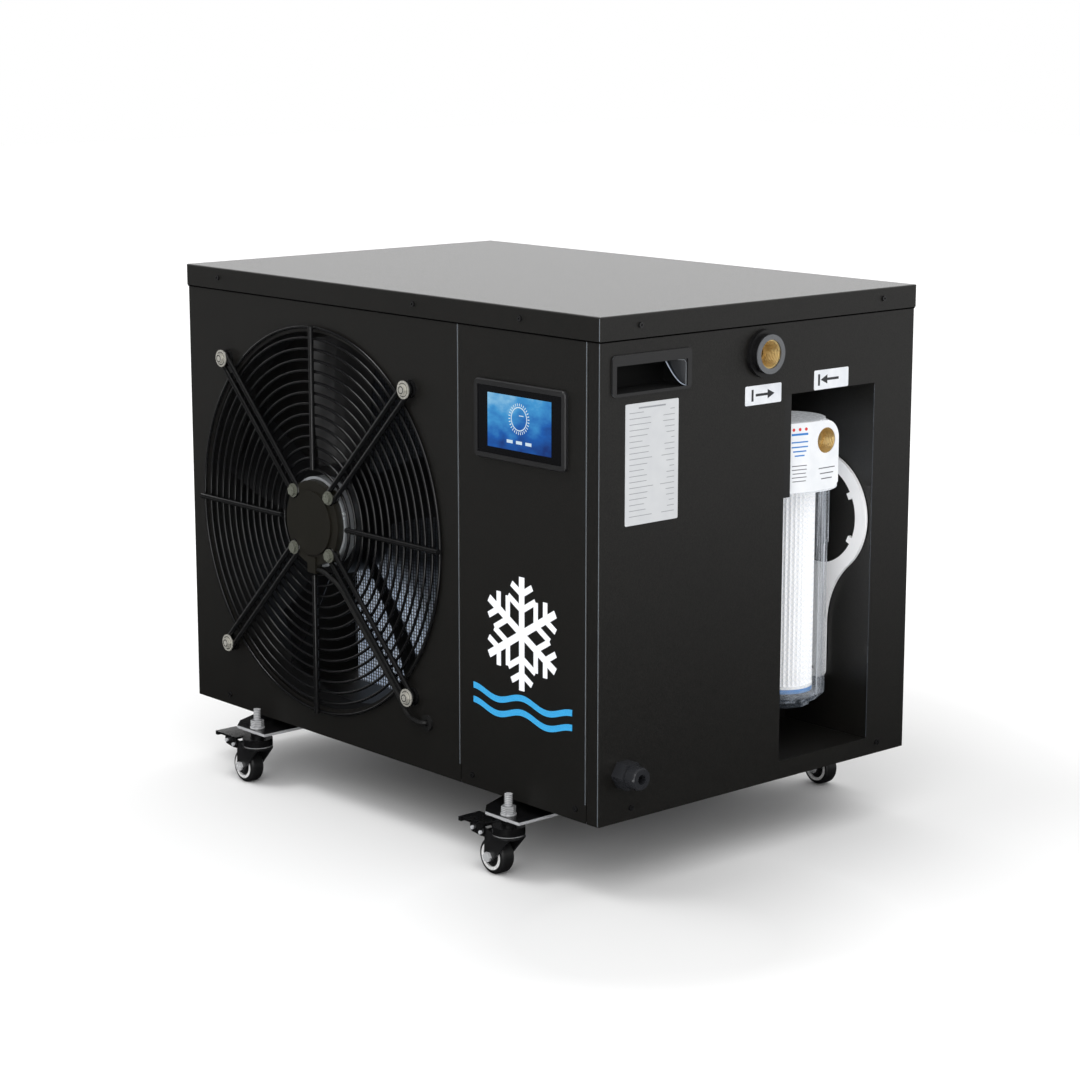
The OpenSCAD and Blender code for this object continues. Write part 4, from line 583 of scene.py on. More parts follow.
@dataclass(frozen=True)
class ScreenPicture:
    """The lit picture: blue water light with a plain round gauge."""

    name: str
    centre: tuple[float, float]
    half: tuple[float, float]
    glow: float = 0.9
    dial: float = 0.005
    keys: float = -0.0185

    def build(self) -> bpy.types.Material:
        """Builds the emissive material; u and v run from -1 to 1 over the picture."""
        s = Sheet(self.name)
        x, _, z = s.place()
        u = (x - self.centre[0]) / self.half[0]
        v = (z - self.centre[1]) / self.half[1]
        ripple = s.noise(38.0, 3.0, 0.55, (1.0, 1.0, 1.9))
        beam = s.noise(16.0, 1.0, 0.5, (2.2, 1.0, 0.5))
        depth = (v * 0.5 + 0.5 + (u * -0.12)).ramp(0.0, 1.0)
        stops = [(0.0, srgb(8, 42, 110)), (0.35, srgb(18, 92, 176)), (0.7, srgb(62, 152, 214)),
                 (1.0, srgb(150, 206, 238))]
        light = depth * 0.75 + ripple.ramp(0.3, 0.75, -0.12, 0.3) + beam.ramp(0.45, 0.8, 0.0, 0.22)
        water = s.node("ShaderNodeValToRGB", {"stops": stops}, {0: light})
        ink = Stencil(x - self.centre[0], z - self.centre[1])
        angle = s.node("ShaderNodeMath", {"operation": "ARCTAN2"}, {0: ink.v - self.dial, 1: ink.u})
        ticks = ink.ring(0, self.dial, 0.0142, 0.0028) * (angle.wave(math.pi / 15) > 0.75)
        marks = ink.ring(0, self.dial, 0.0115, 0.0011) + ticks + ink.bar(0.0034, 0.0084, 0.0068, 0.0009)
        for at in (-0.014, 0, 0.014):
            marks = marks + ink.bar(at, self.keys, 0.009, 0.0032)
        lit = s.mix(marks.ramp(0, 1), water, srgb(216, 236, 248))
        s.set(Base_Color=(0.0, 0.0, 0.0), Emission_Color=lit, Emission_Strength=self.glow,
              Roughness=0.08)
        return s.material


@dataclass(frozen=True)
class RulePlate:
    """A silver plate with a blank form: a head rule and two columns of short lines."""

    name: str
    centre: tuple[float, float]
    rows: int = 19
    pitch: float = 0.0056
    line: tuple[float, float] = (0.0022, 0.0029)
    margin: float = 0.030
    head: float = 0.0545

    def build(self) -> bpy.types.Material:
        """Builds the material: the lines' ends follow a wave of the row's height."""
        s = Sheet(self.name)
        _, y, z = s.place()
        ink = Stencil(y - self.centre[0], z - self.centre[1])
        half = self.rows * self.pitch / 2
        row = (ink.v + half).loop(self.pitch).between(*self.line) * ((ink.v + 0.002).size() < half)
        end = ink.v.wave(0.031) * 0.009 + ink.v.wave(0.0131) * 0.006
        left = (ink.u > -self.margin) * (ink.u < end - 0.013)
        right = (ink.u < self.margin) * (ink.u > 0.026 - end)
        head = ink.bar(0, self.head, 0.036, 0.0016)
        film = s.noise(60.0, 3.0)
        base = s.mix(film.ramp(0.3, 0.7), srgb(193, 195, 198), srgb(199, 201, 203))
        s.set(Base_Color=s.mix((row * (left + right) + head).ramp(0, 1), base, srgb(142, 145, 149)),
              Roughness=film.ramp(0.2, 0.8, 0.34, 0.42))
        return s.material


@dataclass(frozen=True)
class ArrowSticker:
    """A white sticker with an arrow out of a bar, or into it."""

    name: str
    centre: tuple[float, float]
    outward: bool

    def build(self) -> bpy.types.Material:
        """Builds the material: a bar, a shaft and a head."""
        s = Sheet(self.name)
        _, y, z = s.place()
        ink = Stencil(y - self.centre[0], z - self.centre[1])
        way = 1 if self.outward else -1
        arrow = ink.bar(-0.002 * way, 0, 0.018, 0.0026) + ink.wedge(0.006 * way, 0, 0.010 * way, 0.0096)
        port = ink.bar(-0.0155 if self.outward else -0.0185, 0, 0.003, 0.0118)
        film = s.noise(80.0, 2.0)
        base = s.mix(film.ramp(0.3, 0.7), srgb(212, 216, 222), srgb(226, 229, 233))
        s.set(Base_Color=s.mix((arrow + port).ramp(0, 1), base, srgb(38, 40, 44)),
              Roughness=film.ramp(0.2, 0.8, 0.3, 0.4))
        return s.material


@dataclass(frozen=True)
class FilterCard:
    """The filter's white plate: red dots over blue bars, and short grey lines."""

    name: str
    mid: float = 0.0555
    dots: float = 0.4385

    def build(self) -> bpy.types.Material:
        """Builds the material: places are from the middle of the cabinet's side and up from the floor."""
        s = Sheet(self.name)
        _, y, z = s.place()
        ink = Stencil(y, z)
        mid = self.mid
        blue = ink.bar(mid, 0.4335, 0.020, 0.0022) + ink.bar(mid, 0.4255, 0.020, 0.0014)
        for k in range(3):
            blue = blue + ink.bar(mid, 0.4205 - 0.0045 * k, 0.020 - 0.004 * k, 0.0014)
        red = ink.disc(mid, self.dots, 0.0017)
        for way in (-0.0075, 0.0075):
            red = red + ink.disc(mid + way, self.dots, 0.0017)
        grey = ink.bar(mid, 0.401, 0.018, 0.0009)
        for k in range(4):
            grey = grey + ink.bar(mid, 0.397 - 0.004 * k, 0.018 - 0.002 * (k % 2), 0.0009)
        for k in range(3):
            grey = grey + ink.bar(0.0935, 0.3955 - 0.0055 * k, 0.024 - 0.004 * k, 0.0011)
        base = s.noise(60.0, 2.0)
        white = s.mix(base.ramp(0.3, 0.7), srgb(224, 227, 231), srgb(233, 235, 238))
        marked = s.mix(grey.ramp(0, 1), s.mix(blue.ramp(0, 1), white, srgb(36, 120, 196)), srgb(96, 98, 102))
        s.set(Base_Color=s.mix(red.ramp(0, 1), marked, srgb(208, 44, 44)),
              Roughness=base.ramp(0.2, 0.8, 0.3, 0.38))
        return s.material


@dataclass(frozen=True)
class ThreadBrass:
    """Turned brass whose bores carry a fine thread along X."""

    name: str
    pitch: float = 0.0021

    def build(self) -> bpy.types.Material:
        """Builds the material: a wave along the axis is the thread where the surface faces across it."""
        s = Sheet(self.name)
        x, _, _ = s.place()
        nx, _, _ = s.facing()
        cloud = s.noise(90.0, 3.0)
        turn = x.wave(self.pitch) * (1 - nx.size()).ramp(0.4, 0.8)
        s.set(Base_Color=s.mix(cloud.ramp(0.3, 0.7), srgb(216, 184, 118), srgb(238, 212, 152)), Metallic=0.5,
              Roughness=cloud.ramp(0.2, 0.8, 0.2, 0.32))
        s.bump(turn, 0.0006)
        return s.material


def grid_mesh(name: str, points: np.ndarray, close_u: bool = False,
              close_v: bool = False) -> bpy.types.Object:
    """Turns a grid of points into a mesh of quads.

    Args:
        name: the new object's name.
        points: an array of n by m by 3.
        close_u: joins the last row to the first.
        close_v: joins the last column to the first.

    Returns:
        The linked object.
    """
    n, m = points.shape[:2]
    i = np.arange(n if close_u else n - 1)[:, None]
    j = np.arange(m if close_v else m - 1)[None, :]
    a = i * m + j
    b = ((i + 1) % n) * m + j
    c = ((i + 1) % n) * m + (j + 1) % m
    d = i * m + (j + 1) % m
    return flat_mesh(name, points.reshape(-1, 3), np.stack([a, b, c, d], -1).reshape(-1, 4))


def flat_mesh(name: str, points: np.ndarray, faces: np.ndarray) -> bpy.types.Object:
    """Makes a linked mesh object from points and same-sized faces."""
    mesh = bpy.data.meshes.new(name)
    k = faces.shape[1]
    mesh.vertices.add(len(points))
    mesh.vertices.foreach_set("co", points.astype(np.float32).ravel())
    mesh.loops.add(faces.size)
    mesh.loops.foreach_set("vertex_index", faces.astype(np.int32).ravel())
    mesh.polygons.add(len(faces))
    mesh.polygons.foreach_set("loop_start", np.arange(0, faces.size, k, dtype=np.int32))
    mesh.update(calc_edges=True)
    mesh.validate()
    mesh.shade_flat()
    obj = bpy.data.objects.new(name, mesh)
    bpy.context.scene.collection.objects.link(obj)
    return obj


class Side(Enum):
    """The outer face that a plate sits on."""

    FRONT = "front"
    RIGHT = "right"


def plate(name: str, side: Side, centre: tuple[float, float], size: tuple[float, float],
          face: float, lift: float, radius: float = 0.001, steps: int = 6) -> bpy.types.Object:
    """A thin plate with round corners: its outline is a square pushed out to a rounded rectangle.

    Args:
        name: the piece's name.
        side: the outer face that it lies on.
        centre: its centre along the face and up.
        size: its width and height.
        face: the place of the face across.
        lift: the plate's thickness.
        radius: its corner radius.
        steps: points on each corner.

    Returns:
        The linked object, closed all round.
    """
    flat = round_corners((0.0, 0.0), size, radius, steps)
    rows = np.array([[0.0, 0.0], [1.0, 0.0], [1.0, 1.0], [0.0, 1.0]])
    ring = flat[None] * rows[:, 0][:, None, None] + np.array(centre)
    deep = np.broadcast_to(rows[:, 1][:, None] * lift, ring.shape[:2])
    if side is Side.FRONT:
        points = np.stack([ring[..., 0], face - deep, ring[..., 1]], -1)
    else:
        points = np.stack([face + deep, ring[..., 0], ring[..., 1]], -1)
    obj = grid_mesh(name, points, close_v=True)
    tidy_mesh(obj)
    return obj


def vent_sheet(name: str, lo: Vector, hi: Vector, pitch: float, share: float) -> bpy.types.Object:
    """A perforated sheet square to X: each cell is a square whose eight border points run in to an octagon.

    Args:
        name: the piece's name.
        lo: the lower corner of its box.
        hi: the upper corner of its box.
        pitch: the distance between the holes.
        share: the hole's radius as a share of half the pitch.

    Returns:
        The linked object, with walls in its holes.
    """
    ny, nz = int((hi.y - lo.y) / pitch), int((hi.z - lo.z) / pitch)
    py, pz = (hi.y - lo.y) / ny, (hi.z - lo.z) / nz
    t = np.arange(8) * math.pi / 4
    circle = np.stack([np.cos(t), np.sin(t)], -1)
    square = np.clip(circle * math.sqrt(2), -1, 1) / 2
    inner = circle * share / 2
    rows = lo.y + (np.arange(ny) + 0.5) * py
    columns = lo.z + (np.arange(nz) + 0.5) * pz
    cy, cz = np.meshgrid(rows, columns, indexing="ij")
    centre = np.stack([cy.ravel(), cz.ravel()], -1)
    rings = []
    for flat, x in ((square, hi.x), (inner, hi.x), (inner, lo.x), (square, lo.x)):
        yz = centre[:, None, :] + flat[None] * np.array([py, pz])
        rings.append(np.concatenate([np.full(yz.shape[:2] + (1,), x), yz], -1))
    points = np.stack(rings, 1)
    n = len(centre)
    base = np.arange(n)[:, None, None] * 32 + np.arange(3)[None, :, None] * 8
    k = np.arange(8)[None, None, :]
    j = (k + 1) % 8
    faces = np.stack([base + k, base + j, base + 8 + j, base + 8 + k], -1).reshape(-1, 4)
    obj = flat_mesh(name, points.reshape(-1, 3), faces)
    tidy_mesh(obj)
    return obj


def bead(name: str, path: np.ndarray, across: tuple[float, float, float], radius: float,
         closed: bool = False) -> bpy.types.Object:
    """A thin round bead along a flat path: p + radius (a cos t + (T x a) sin t).

    Args:
        name: the piece's name.
        path: n by 3 points p in one plane.
        across: the plane's unit normal a.
        radius: the bead's radius.
        closed: joins the path's end to its start.

    Returns:
        The linked object, smooth shaded.
    """
    if closed:
        along = np.roll(path, -1, 0) - np.roll(path, 1, 0)
    else:
        along = np.gradient(path, axis=0)
    along = along / np.linalg.norm(along, axis=1)[:, None]
    a = np.array(across, float)
    side = np.cross(along, a)
    t = (np.arange(BEAD_SIDES) * 2 * math.pi / BEAD_SIDES)[None, :, None]
    points = path[:, None] + radius * (np.cos(t) * a + np.sin(t) * side[:, None])
    obj = grid_mesh(name, points, close_u=closed, close_v=True)
    tidy_mesh(obj)
    obj.data.shade_smooth()
    return obj


def round_corners(centre: tuple[float, float], size: tuple[float, float], radius: float,
                  steps: int = 6) -> np.ndarray:
    """The outline of a rounded rectangle: each corner's centre plus radius (cos t, sin t)."""
    corner = np.repeat(np.array([[1, 1], [-1, 1], [-1, -1], [1, -1]], float), steps, 0)
    angle = np.tile(np.linspace(0, math.pi / 2, steps), 4) + np.repeat(np.arange(4) * math.pi / 2, steps)
    turn = np.stack([np.cos(angle), np.sin(angle)], -1)
    return corner * (np.array(size) / 2 - radius) + radius * turn + np.array(centre)


def scoop_rim(face: float, far: float, low: float, high: float, way: float) -> np.ndarray:
    """The rim of a handle's scoop in the mouth's plane: y = far - 28 mm v^0.6 at the height share v."""
    v = np.linspace(0.0, 1.0, 24) ** 1.4
    x = np.full_like(v, face - way * 0.002)
    return np.stack([x, far - RIM_SWEEP * v ** 0.6, low + (high - low) * v], -1)


def grip_scoop(name: str, rim: np.ndarray, far: float, way: float) -> bpy.types.Object:
    """The hollow end of a handle's cup: a dish from its curved rim to the far end.

    Its depth is 10 mm sin(pi s) times the share of the rim's whole sweep at that height.

    Args:
        name: the piece's name.
        rim: n by 3 points of the rim.
        far: the cup's far end.
        way: 1 on the right side, -1 on the left.

    Returns:
        The linked object, where s runs from 0 on the rim to 1 at the far end.
    """
    s = np.linspace(0, 1, 16)[None, :]
    y = rim[:, 1:2] + (far - rim[:, 1:2]) * s
    x = rim[:, 0:1] - way * SCOOP_DEPTH * np.sin(math.pi * s) * ((far - rim[:, 1:2]) / RIM_SWEEP)
    return grid_mesh(name, np.stack([x, y, np.broadcast_to(rim[:, 2:3], y.shape)], -1))


def tidy_mesh(obj: bpy.types.Object) -> None:
    """Merges doubles and turns the faces outwards."""
    bm = bmesh.new()
    bm.from_mesh(obj.data)
    bmesh.ops.remove_doubles(bm, verts=bm.verts, dist=1e-7)
    bmesh.ops.recalc_face_normals(bm, faces=bm.faces)
    bm.to_mesh(obj.data)
    bm.free()


def paint(obj: bpy.types.Object, material: bpy.types.Material) -> None:
    """Puts one material on a piece or a solid."""
    obj.data.materials.clear()
    obj.data.materials.append(material)


@dataclass
class Frame:
    """The chiller's solids, and how to dress them."""

    nodes: dict = field(default_factory=dict)

    def dress(self, finish, *names: str) -> None:
        """Builds one finish and puts it on the named solids."""
        material = finish.build()
        for n in names:
            paint(self.nodes[n], material)
            LOG.info("dressed %s with %s", n, material.name)

    def middle(self, name: str) -> Vector:
        """The middle of a solid's box."""
        lo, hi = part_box(name)
        return (lo + hi) / 2


@dataclass
class Cabinet(Frame):
    """The sheet steel case, its screws and handles."""

    bezel: float = 0.0028
    cup_end: float = 0.0057
    cup_low: float = 0.0032
    cup_high: float = 0.0294
    bezel_inset: float = 0.0007
    hole_pitch: float = 0.005
    hole_share: float = 0.66
    fold_radius: float = 0.0005
    joint_radius: float = 0.0008

    def build(self) -> None:
        """Dresses the case."""
        self.dress(PowderCoat(), "lid", "control_panel", "side_panel_right", "side_panel_left", "back_panel",
                   "base_pan", "recess_box")
        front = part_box("control_panel")[0].y
        # The fan panel's shroud, behind the front, gets painted shade.
        self.dress(PowderCoat("fan_panel_coat", shade_from=front + 0.003), "fan_panel")
        self.dress(Plastic("case_screw_black", srgb(20, 20, 21), 0.2), "case_screws")
        # Deeper in than the bezel, the handles' cups get painted shade.
        lo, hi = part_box("carry_handles")
        shade_core = ((lo.x + hi.x) / 2, (hi.x - lo.x) / 2 - self.bezel)
        self.dress(Plastic("handle_plastic", srgb(30, 30, 31), 0.3, shade_core=shade_core), "carry_handles")
        # The rails' upward faces get painted shade.
        self.dress(ZoneMetal("rail_zinc", srgb(214, 215, 218), 0.2, up=True), "caster_rails")
        self.dress(Metal("wall_zinc", srgb(150, 152, 155), 0.35), "divider_wall")
        self.vent()
        self.handles()
        self.lines()

    def vent(self) -> None:
        """Lays a finer perforated sheet in the place of the plain one."""
        lo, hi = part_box("vent_grille")
        sheet = vent_sheet("vent_sheet", lo, hi, self.hole_pitch, self.hole_share)
        paint(sheet, Metal("vent_metal", srgb(168, 172, 178), 0.4).build())
        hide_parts("vent_grille")
        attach(sheet, "cabinet")

    def ride(self, piece: bpy.types.Object, material: bpy.types.Material, slot: str) -> None:
        """Paints a new piece and lets it move with the cabinet."""
        paint(piece, material)
        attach(piece, "cabinet")

    def handles(self) -> None:
        """Puts a scooped end in painted shade in each handle's cup, pale beads on its rim and far edge, and a
        glossy one round its bezel: painted highlights.
        """
        lo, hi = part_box("carry_handles")
        # The scoop's blue black, darker than the handle, is painted shade in the cup.
        coat = Plastic("scoop_shade_plastic", srgb(15, 20, 27), 0.3).build()
        # The pale beads are painted highlights.
        rim_highlight = Plastic("rim_highlight_plastic", srgb(150, 158, 172), 0.2).build()
        edge_highlight = Plastic("bezel_edge_highlight", srgb(110, 114, 118), 0.16).build()
        far, low, high = hi.y - self.cup_end, lo.z + self.cup_low, lo.z + self.cup_high
        middle = ((lo.y + hi.y) / 2, (lo.z + hi.z) / 2)
        size = (hi.y - lo.y - 2 * self.bezel_inset, hi.z - lo.z - 2 * self.bezel_inset)
        for name, way, face in (("right", 1.0, hi.x), ("left", -1.0, lo.x)):
            rim = scoop_rim(face, far, low, high, way)
            scoop = grip_scoop("scoop_" + name, rim, far, way)
            scoop.data.shade_smooth()
            self.ride(scoop, coat, "black_plastic")
            self.ride(bead("scoop_rim_" + name, rim, (1, 0, 0), 0.0006), rim_highlight, "black_plastic")
            end = rim[0, 0], far - 0.0004
            loop = np.array([[*end, low + 0.001], [*end, high - 0.004],
                             [end[0], far - 0.003, high - 0.001], [end[0], far - 0.012, high]])
            self.ride(bead("scoop_edge_" + name, loop, (1, 0, 0), 0.0005), edge_highlight, "black_plastic")
            flat = round_corners(middle, size, 0.004)
            path = np.column_stack([np.full(len(flat), face - way * self.bezel_inset), flat])
            edge = bead("bezel_edge_" + name, path, (1, 0, 0), self.bezel_inset, True)
            self.ride(edge, edge_highlight, "black_plastic")

    def lines(self) -> None:
        """Lays pale lines on the folds, painted highlights where they catch the light, and a dark joint under
        the lid's skirt.
        """
        # The pale beads on the folds are painted highlights.
        wear_and_highlight = Plastic("fold_highlight", srgb(104, 112, 120), 0.25).build()
        lid_lo, lid_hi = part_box("lid")
        _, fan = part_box("fan_panel")
        con_lo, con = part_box("control_panel")
        side_lo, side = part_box("side_panel_right")
        for name, x, y, low, high in (
                ("fold_fan", fan.x, con_lo.y, con_lo.z, lid_lo.z),
                ("fold_control", con.x, con_lo.y, con_lo.z, lid_lo.z),
                ("fold_side", side.x, side_lo.y, side_lo.z, lid_lo.z),
                ("fold_lid", lid_hi.x, lid_lo.y, lid_lo.z, lid_hi.z - 0.001)):
            ends = (low + 0.0006, high - 0.0006)
            path = np.array([[x - 3 * self.fold_radius, y + self.fold_radius, z] for z in ends])
            self.ride(bead(name, path, (1, 0, 0), self.fold_radius), wear_and_highlight, "black_coat")
        box_lo, box_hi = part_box("recess_box")
        ends = (box_lo.z + 0.003, box_hi.z - 0.003)
        path = np.array([[side.x - 0.0001, box_hi.y - 0.0010, z] for z in ends])
        # The pale bead on the recess's fold is a painted highlight.
        fold = Plastic("recess_fold_highlight", srgb(62, 67, 74), 0.25).build()
        self.ride(bead("fold_recess", path, (1, 0, 0), 0.0003), fold, "black_coat")
        mid = (lid_lo + lid_hi) / 2
        size = (2 * (side.x - mid.x) + 0.0004, 2 * (mid.y - con_lo.y) + 0.0004)
        flat = round_corners((mid.x, mid.y), size, 0.0022)
        path = np.column_stack([flat, np.full(len(flat), lid_lo.z - self.joint_radius)])
        joint = bead("lid_joint", path, (0, 0, 1), self.joint_radius, True)
        self.ride(joint, Plastic("joint_shade", srgb(5, 5, 5), 0.9, shine=0.0).build(), "black_coat")


@dataclass
class FanSet(Frame):
    """The guard, the motor and the blades."""

    washer: float = 0.0095

    def build(self) -> None:
        """Dresses the fan."""
        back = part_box("guard_arms")[1].y
        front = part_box("control_panel")[0].y
        hub = self.middle("fan_rotor")
        low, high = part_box("fan_bolts")
        reach = (high.x - hub.x - self.washer, high.z - hub.z - self.washer)
        self.dress(Plastic("guard_coat", srgb(14, 14, 15), 0.18, depth=0.00001), "fan_guard", "guard_arms")
        steel = ZoneMetal("bolt_steel", srgb(186, 184, 176), 0.25, deep=(back - 0.0003, front + 0.0005),
                          hub=(hub.x, hub.z, 0.06), reach=reach)
        self.dress(steel, "fan_bolts")
        self.dress(Plastic("stator_paint", srgb(24, 22, 15), 0.45, shine=0.4), "motor_stator")
        self.dress(Metal("rotor_steel", srgb(196, 200, 204), 0.22, bare=0.6), "fan_rotor")
        self.dress(Plastic("blade_coat", srgb(7, 7, 9), 0.36, depth=0.00001, shine=0.35), "fan_blades")
        self.dress(Plastic("sheath", srgb(18, 18, 18), 0.5), "fan_cable", "cable_grommet")


@dataclass
class ScreenSet(Frame):
    """The touch screen with its lit picture."""

    lit: tuple[float, float] = (0.095, 0.0539)
    half: tuple[float, float] = (0.0475, 0.027)

    def build(self) -> None:
        """Dresses the screen and lays the picture on its glass."""
        self.dress(Plastic("bezel_plastic", srgb(30, 30, 31), 0.35), "screen_bezel")
        self.dress(Plastic("screen_glass", srgb(4, 4, 6), 0.05, depth=0.0, shine=0.2), "touch_screen")
        lo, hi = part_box("touch_screen")
        mid = (lo + hi) / 2
        centre = (mid.x, mid.z)
        picture = plate("screen_picture", Side.FRONT, centre, self.lit, lo.y, 0.0002, 0.0004)
        paint(picture, ScreenPicture("screen_picture", centre, self.half).build())
        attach(picture, "cabinet")


@dataclass
class FilterSet(Frame):
    """The water filter in its recess, and its wrench."""

    cap_low: float = 0.0046
    cap_high: float = 0.0081

    def build(self) -> None:
        """Dresses the filter."""
        mid = self.middle("filter_cartridge")
        lo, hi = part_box("filter_cartridge")
        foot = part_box("filter_bowl")[0].z
        bowl = ClearPlastic("bowl_plastic", srgb(224, 230, 238), dark_below=foot + 0.012)
        self.dress(bowl, "filter_bowl")
        # The head's glow is painted light, for light scattered in the clear plastic.
        self.dress(ClearPlastic("head_plastic", srgb(226, 229, 233), 0.2, 0.5, 0.92, glow=0.3), "filter_head")
        paper = PleatPaper("pleat_paper", (mid.x, mid.y), lo.z + self.cap_low, hi.z - self.cap_high)
        self.dress(paper, "filter_cartridge")
        self.dress(ThreadBrass("port_brass"), "filter_port", "outlet_fitting")
        self.dress(Plastic("bracket_coat", srgb(20, 20, 20), 0.35), "filter_bracket")
        self.dress(Plastic("gland_plastic", srgb(38, 39, 42), 0.2), "cable_gland")
        self.dress(CollarPlastic("collar_plastic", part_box("outlet_nut")[1].x), "outlet_nut")
        self.dress(FilterCard("filter_card"), "filter_label")
        self.dress(Plastic("wrench_plastic", srgb(250, 250, 251), 0.35, spread=0.02), "filter_wrench")


@dataclass
class Casters(Frame):
    """The four casters."""

    corners: tuple[str, ...] = ("front_left", "front_right", "rear_left", "rear_right")
    race: tuple[float, float] = (0.0443, 0.0461)
    pin_end: float = 0.0021
    ring: tuple[float, float] = (0.0113, 0.0145)

    def build(self) -> None:
        """Dresses forks, axles, tyres, rims and pedals."""
        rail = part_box("caster_rails")[0].z
        studs = ZoneMetal("stud_zinc", srgb(224, 225, 227), 0.2, low=(0.0, rail - 0.0025), race=self.race,
                          thread=0.0019)
        self.dress(studs, "caster_studs")
        axle = Metal("axle_zinc", srgb(214, 215, 217), 0.22, bare=0.4)
        self.dress(axle, *("axle_" + c for c in self.corners))
        fork = Plastic("fork_coat", srgb(24, 24, 25), 0.3, depth=0.00001)
        self.dress(fork, *("fork_" + c for c in self.corners))
        for n in ("pedal_left", "pedal_right"):
            lo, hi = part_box(n)
            deep = (lo.y + self.pin_end, hi.y - self.pin_end)
            self.dress(ZoneMetal(n, srgb(226, 228, 232), 0.25, deep=deep), n)
        self.dress(Plastic("tread", srgb(24, 24, 25), 0.42), *("tyre_" + c for c in self.corners))
        for c in self.corners:
            mid = self.middle("rim_" + c)
            self.dress(WheelPaint("wheel_" + c, (mid.x, mid.z), *self.ring), "rim_" + c)


@dataclass
class Works(Frame):
    """What stands inside the case."""

    lit_from: tuple[float, float] = (0.1695, 0.2015)
    lit_radius: float = 0.155

    def build(self) -> None:
        """Dresses the works."""
        lo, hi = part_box("fan_guard")
        mouth = (lo + hi) / 2
        lit = (mouth.x - self.lit_from[0], mouth.z - self.lit_from[1], self.lit_radius)
        self.dress(FinStack("fin_stack", lit), "condenser")
        self.dress(PowderCoat("shell_coat", srgb(18, 18, 18), 0.3), "compressor")
        self.dress(Metal("plate_steel", srgb(170, 172, 175), 0.3), "evaporator")
        self.dress(Plastic("pump_coat", srgb(28, 34, 48), 0.4), "water_pump")
        self.dress(Metal("box_steel", srgb(160, 163, 166), 0.35), "electric_box")
        self.dress(Plastic("hose_rubber", srgb(22, 22, 22), 0.55), "water_hoses")
        self.dress(Metal("pipe_copper", srgb(198, 120, 84), 0.28), "copper_pipes")


@dataclass
class Signs(Frame):
    """The film on the front, and the plates on the side."""

    waves: float = 0.0318
    film: float = 0.0003
    corner: float = 0.0015

    def build(self) -> None:
        """Dresses the sign and lays the plates on the side panel."""
        lo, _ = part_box("front_sign")
        self.dress(SignFilm("sign_film", lo.z + self.waves), "front_sign")
        _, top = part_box("side_panel_right")
        places = ((RulePlate("rating_plate", (-0.1557, 0.4295)), (0.0705, 0.1185)),
                  (ArrowSticker("outlet_sticker", (-0.0025, 0.48075), True), (0.0516, 0.0195)),
                  (ArrowSticker("inlet_sticker", (0.097, 0.48755), False), (0.0512, 0.0201)))
        for finish, size in places:
            name = finish.name
            piece = plate(name, Side.RIGHT, finish.centre, size, top.x, self.film, self.corner)
            paint(piece, finish.build())
            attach(piece, "cabinet")
            LOG.info("placed %s", name)


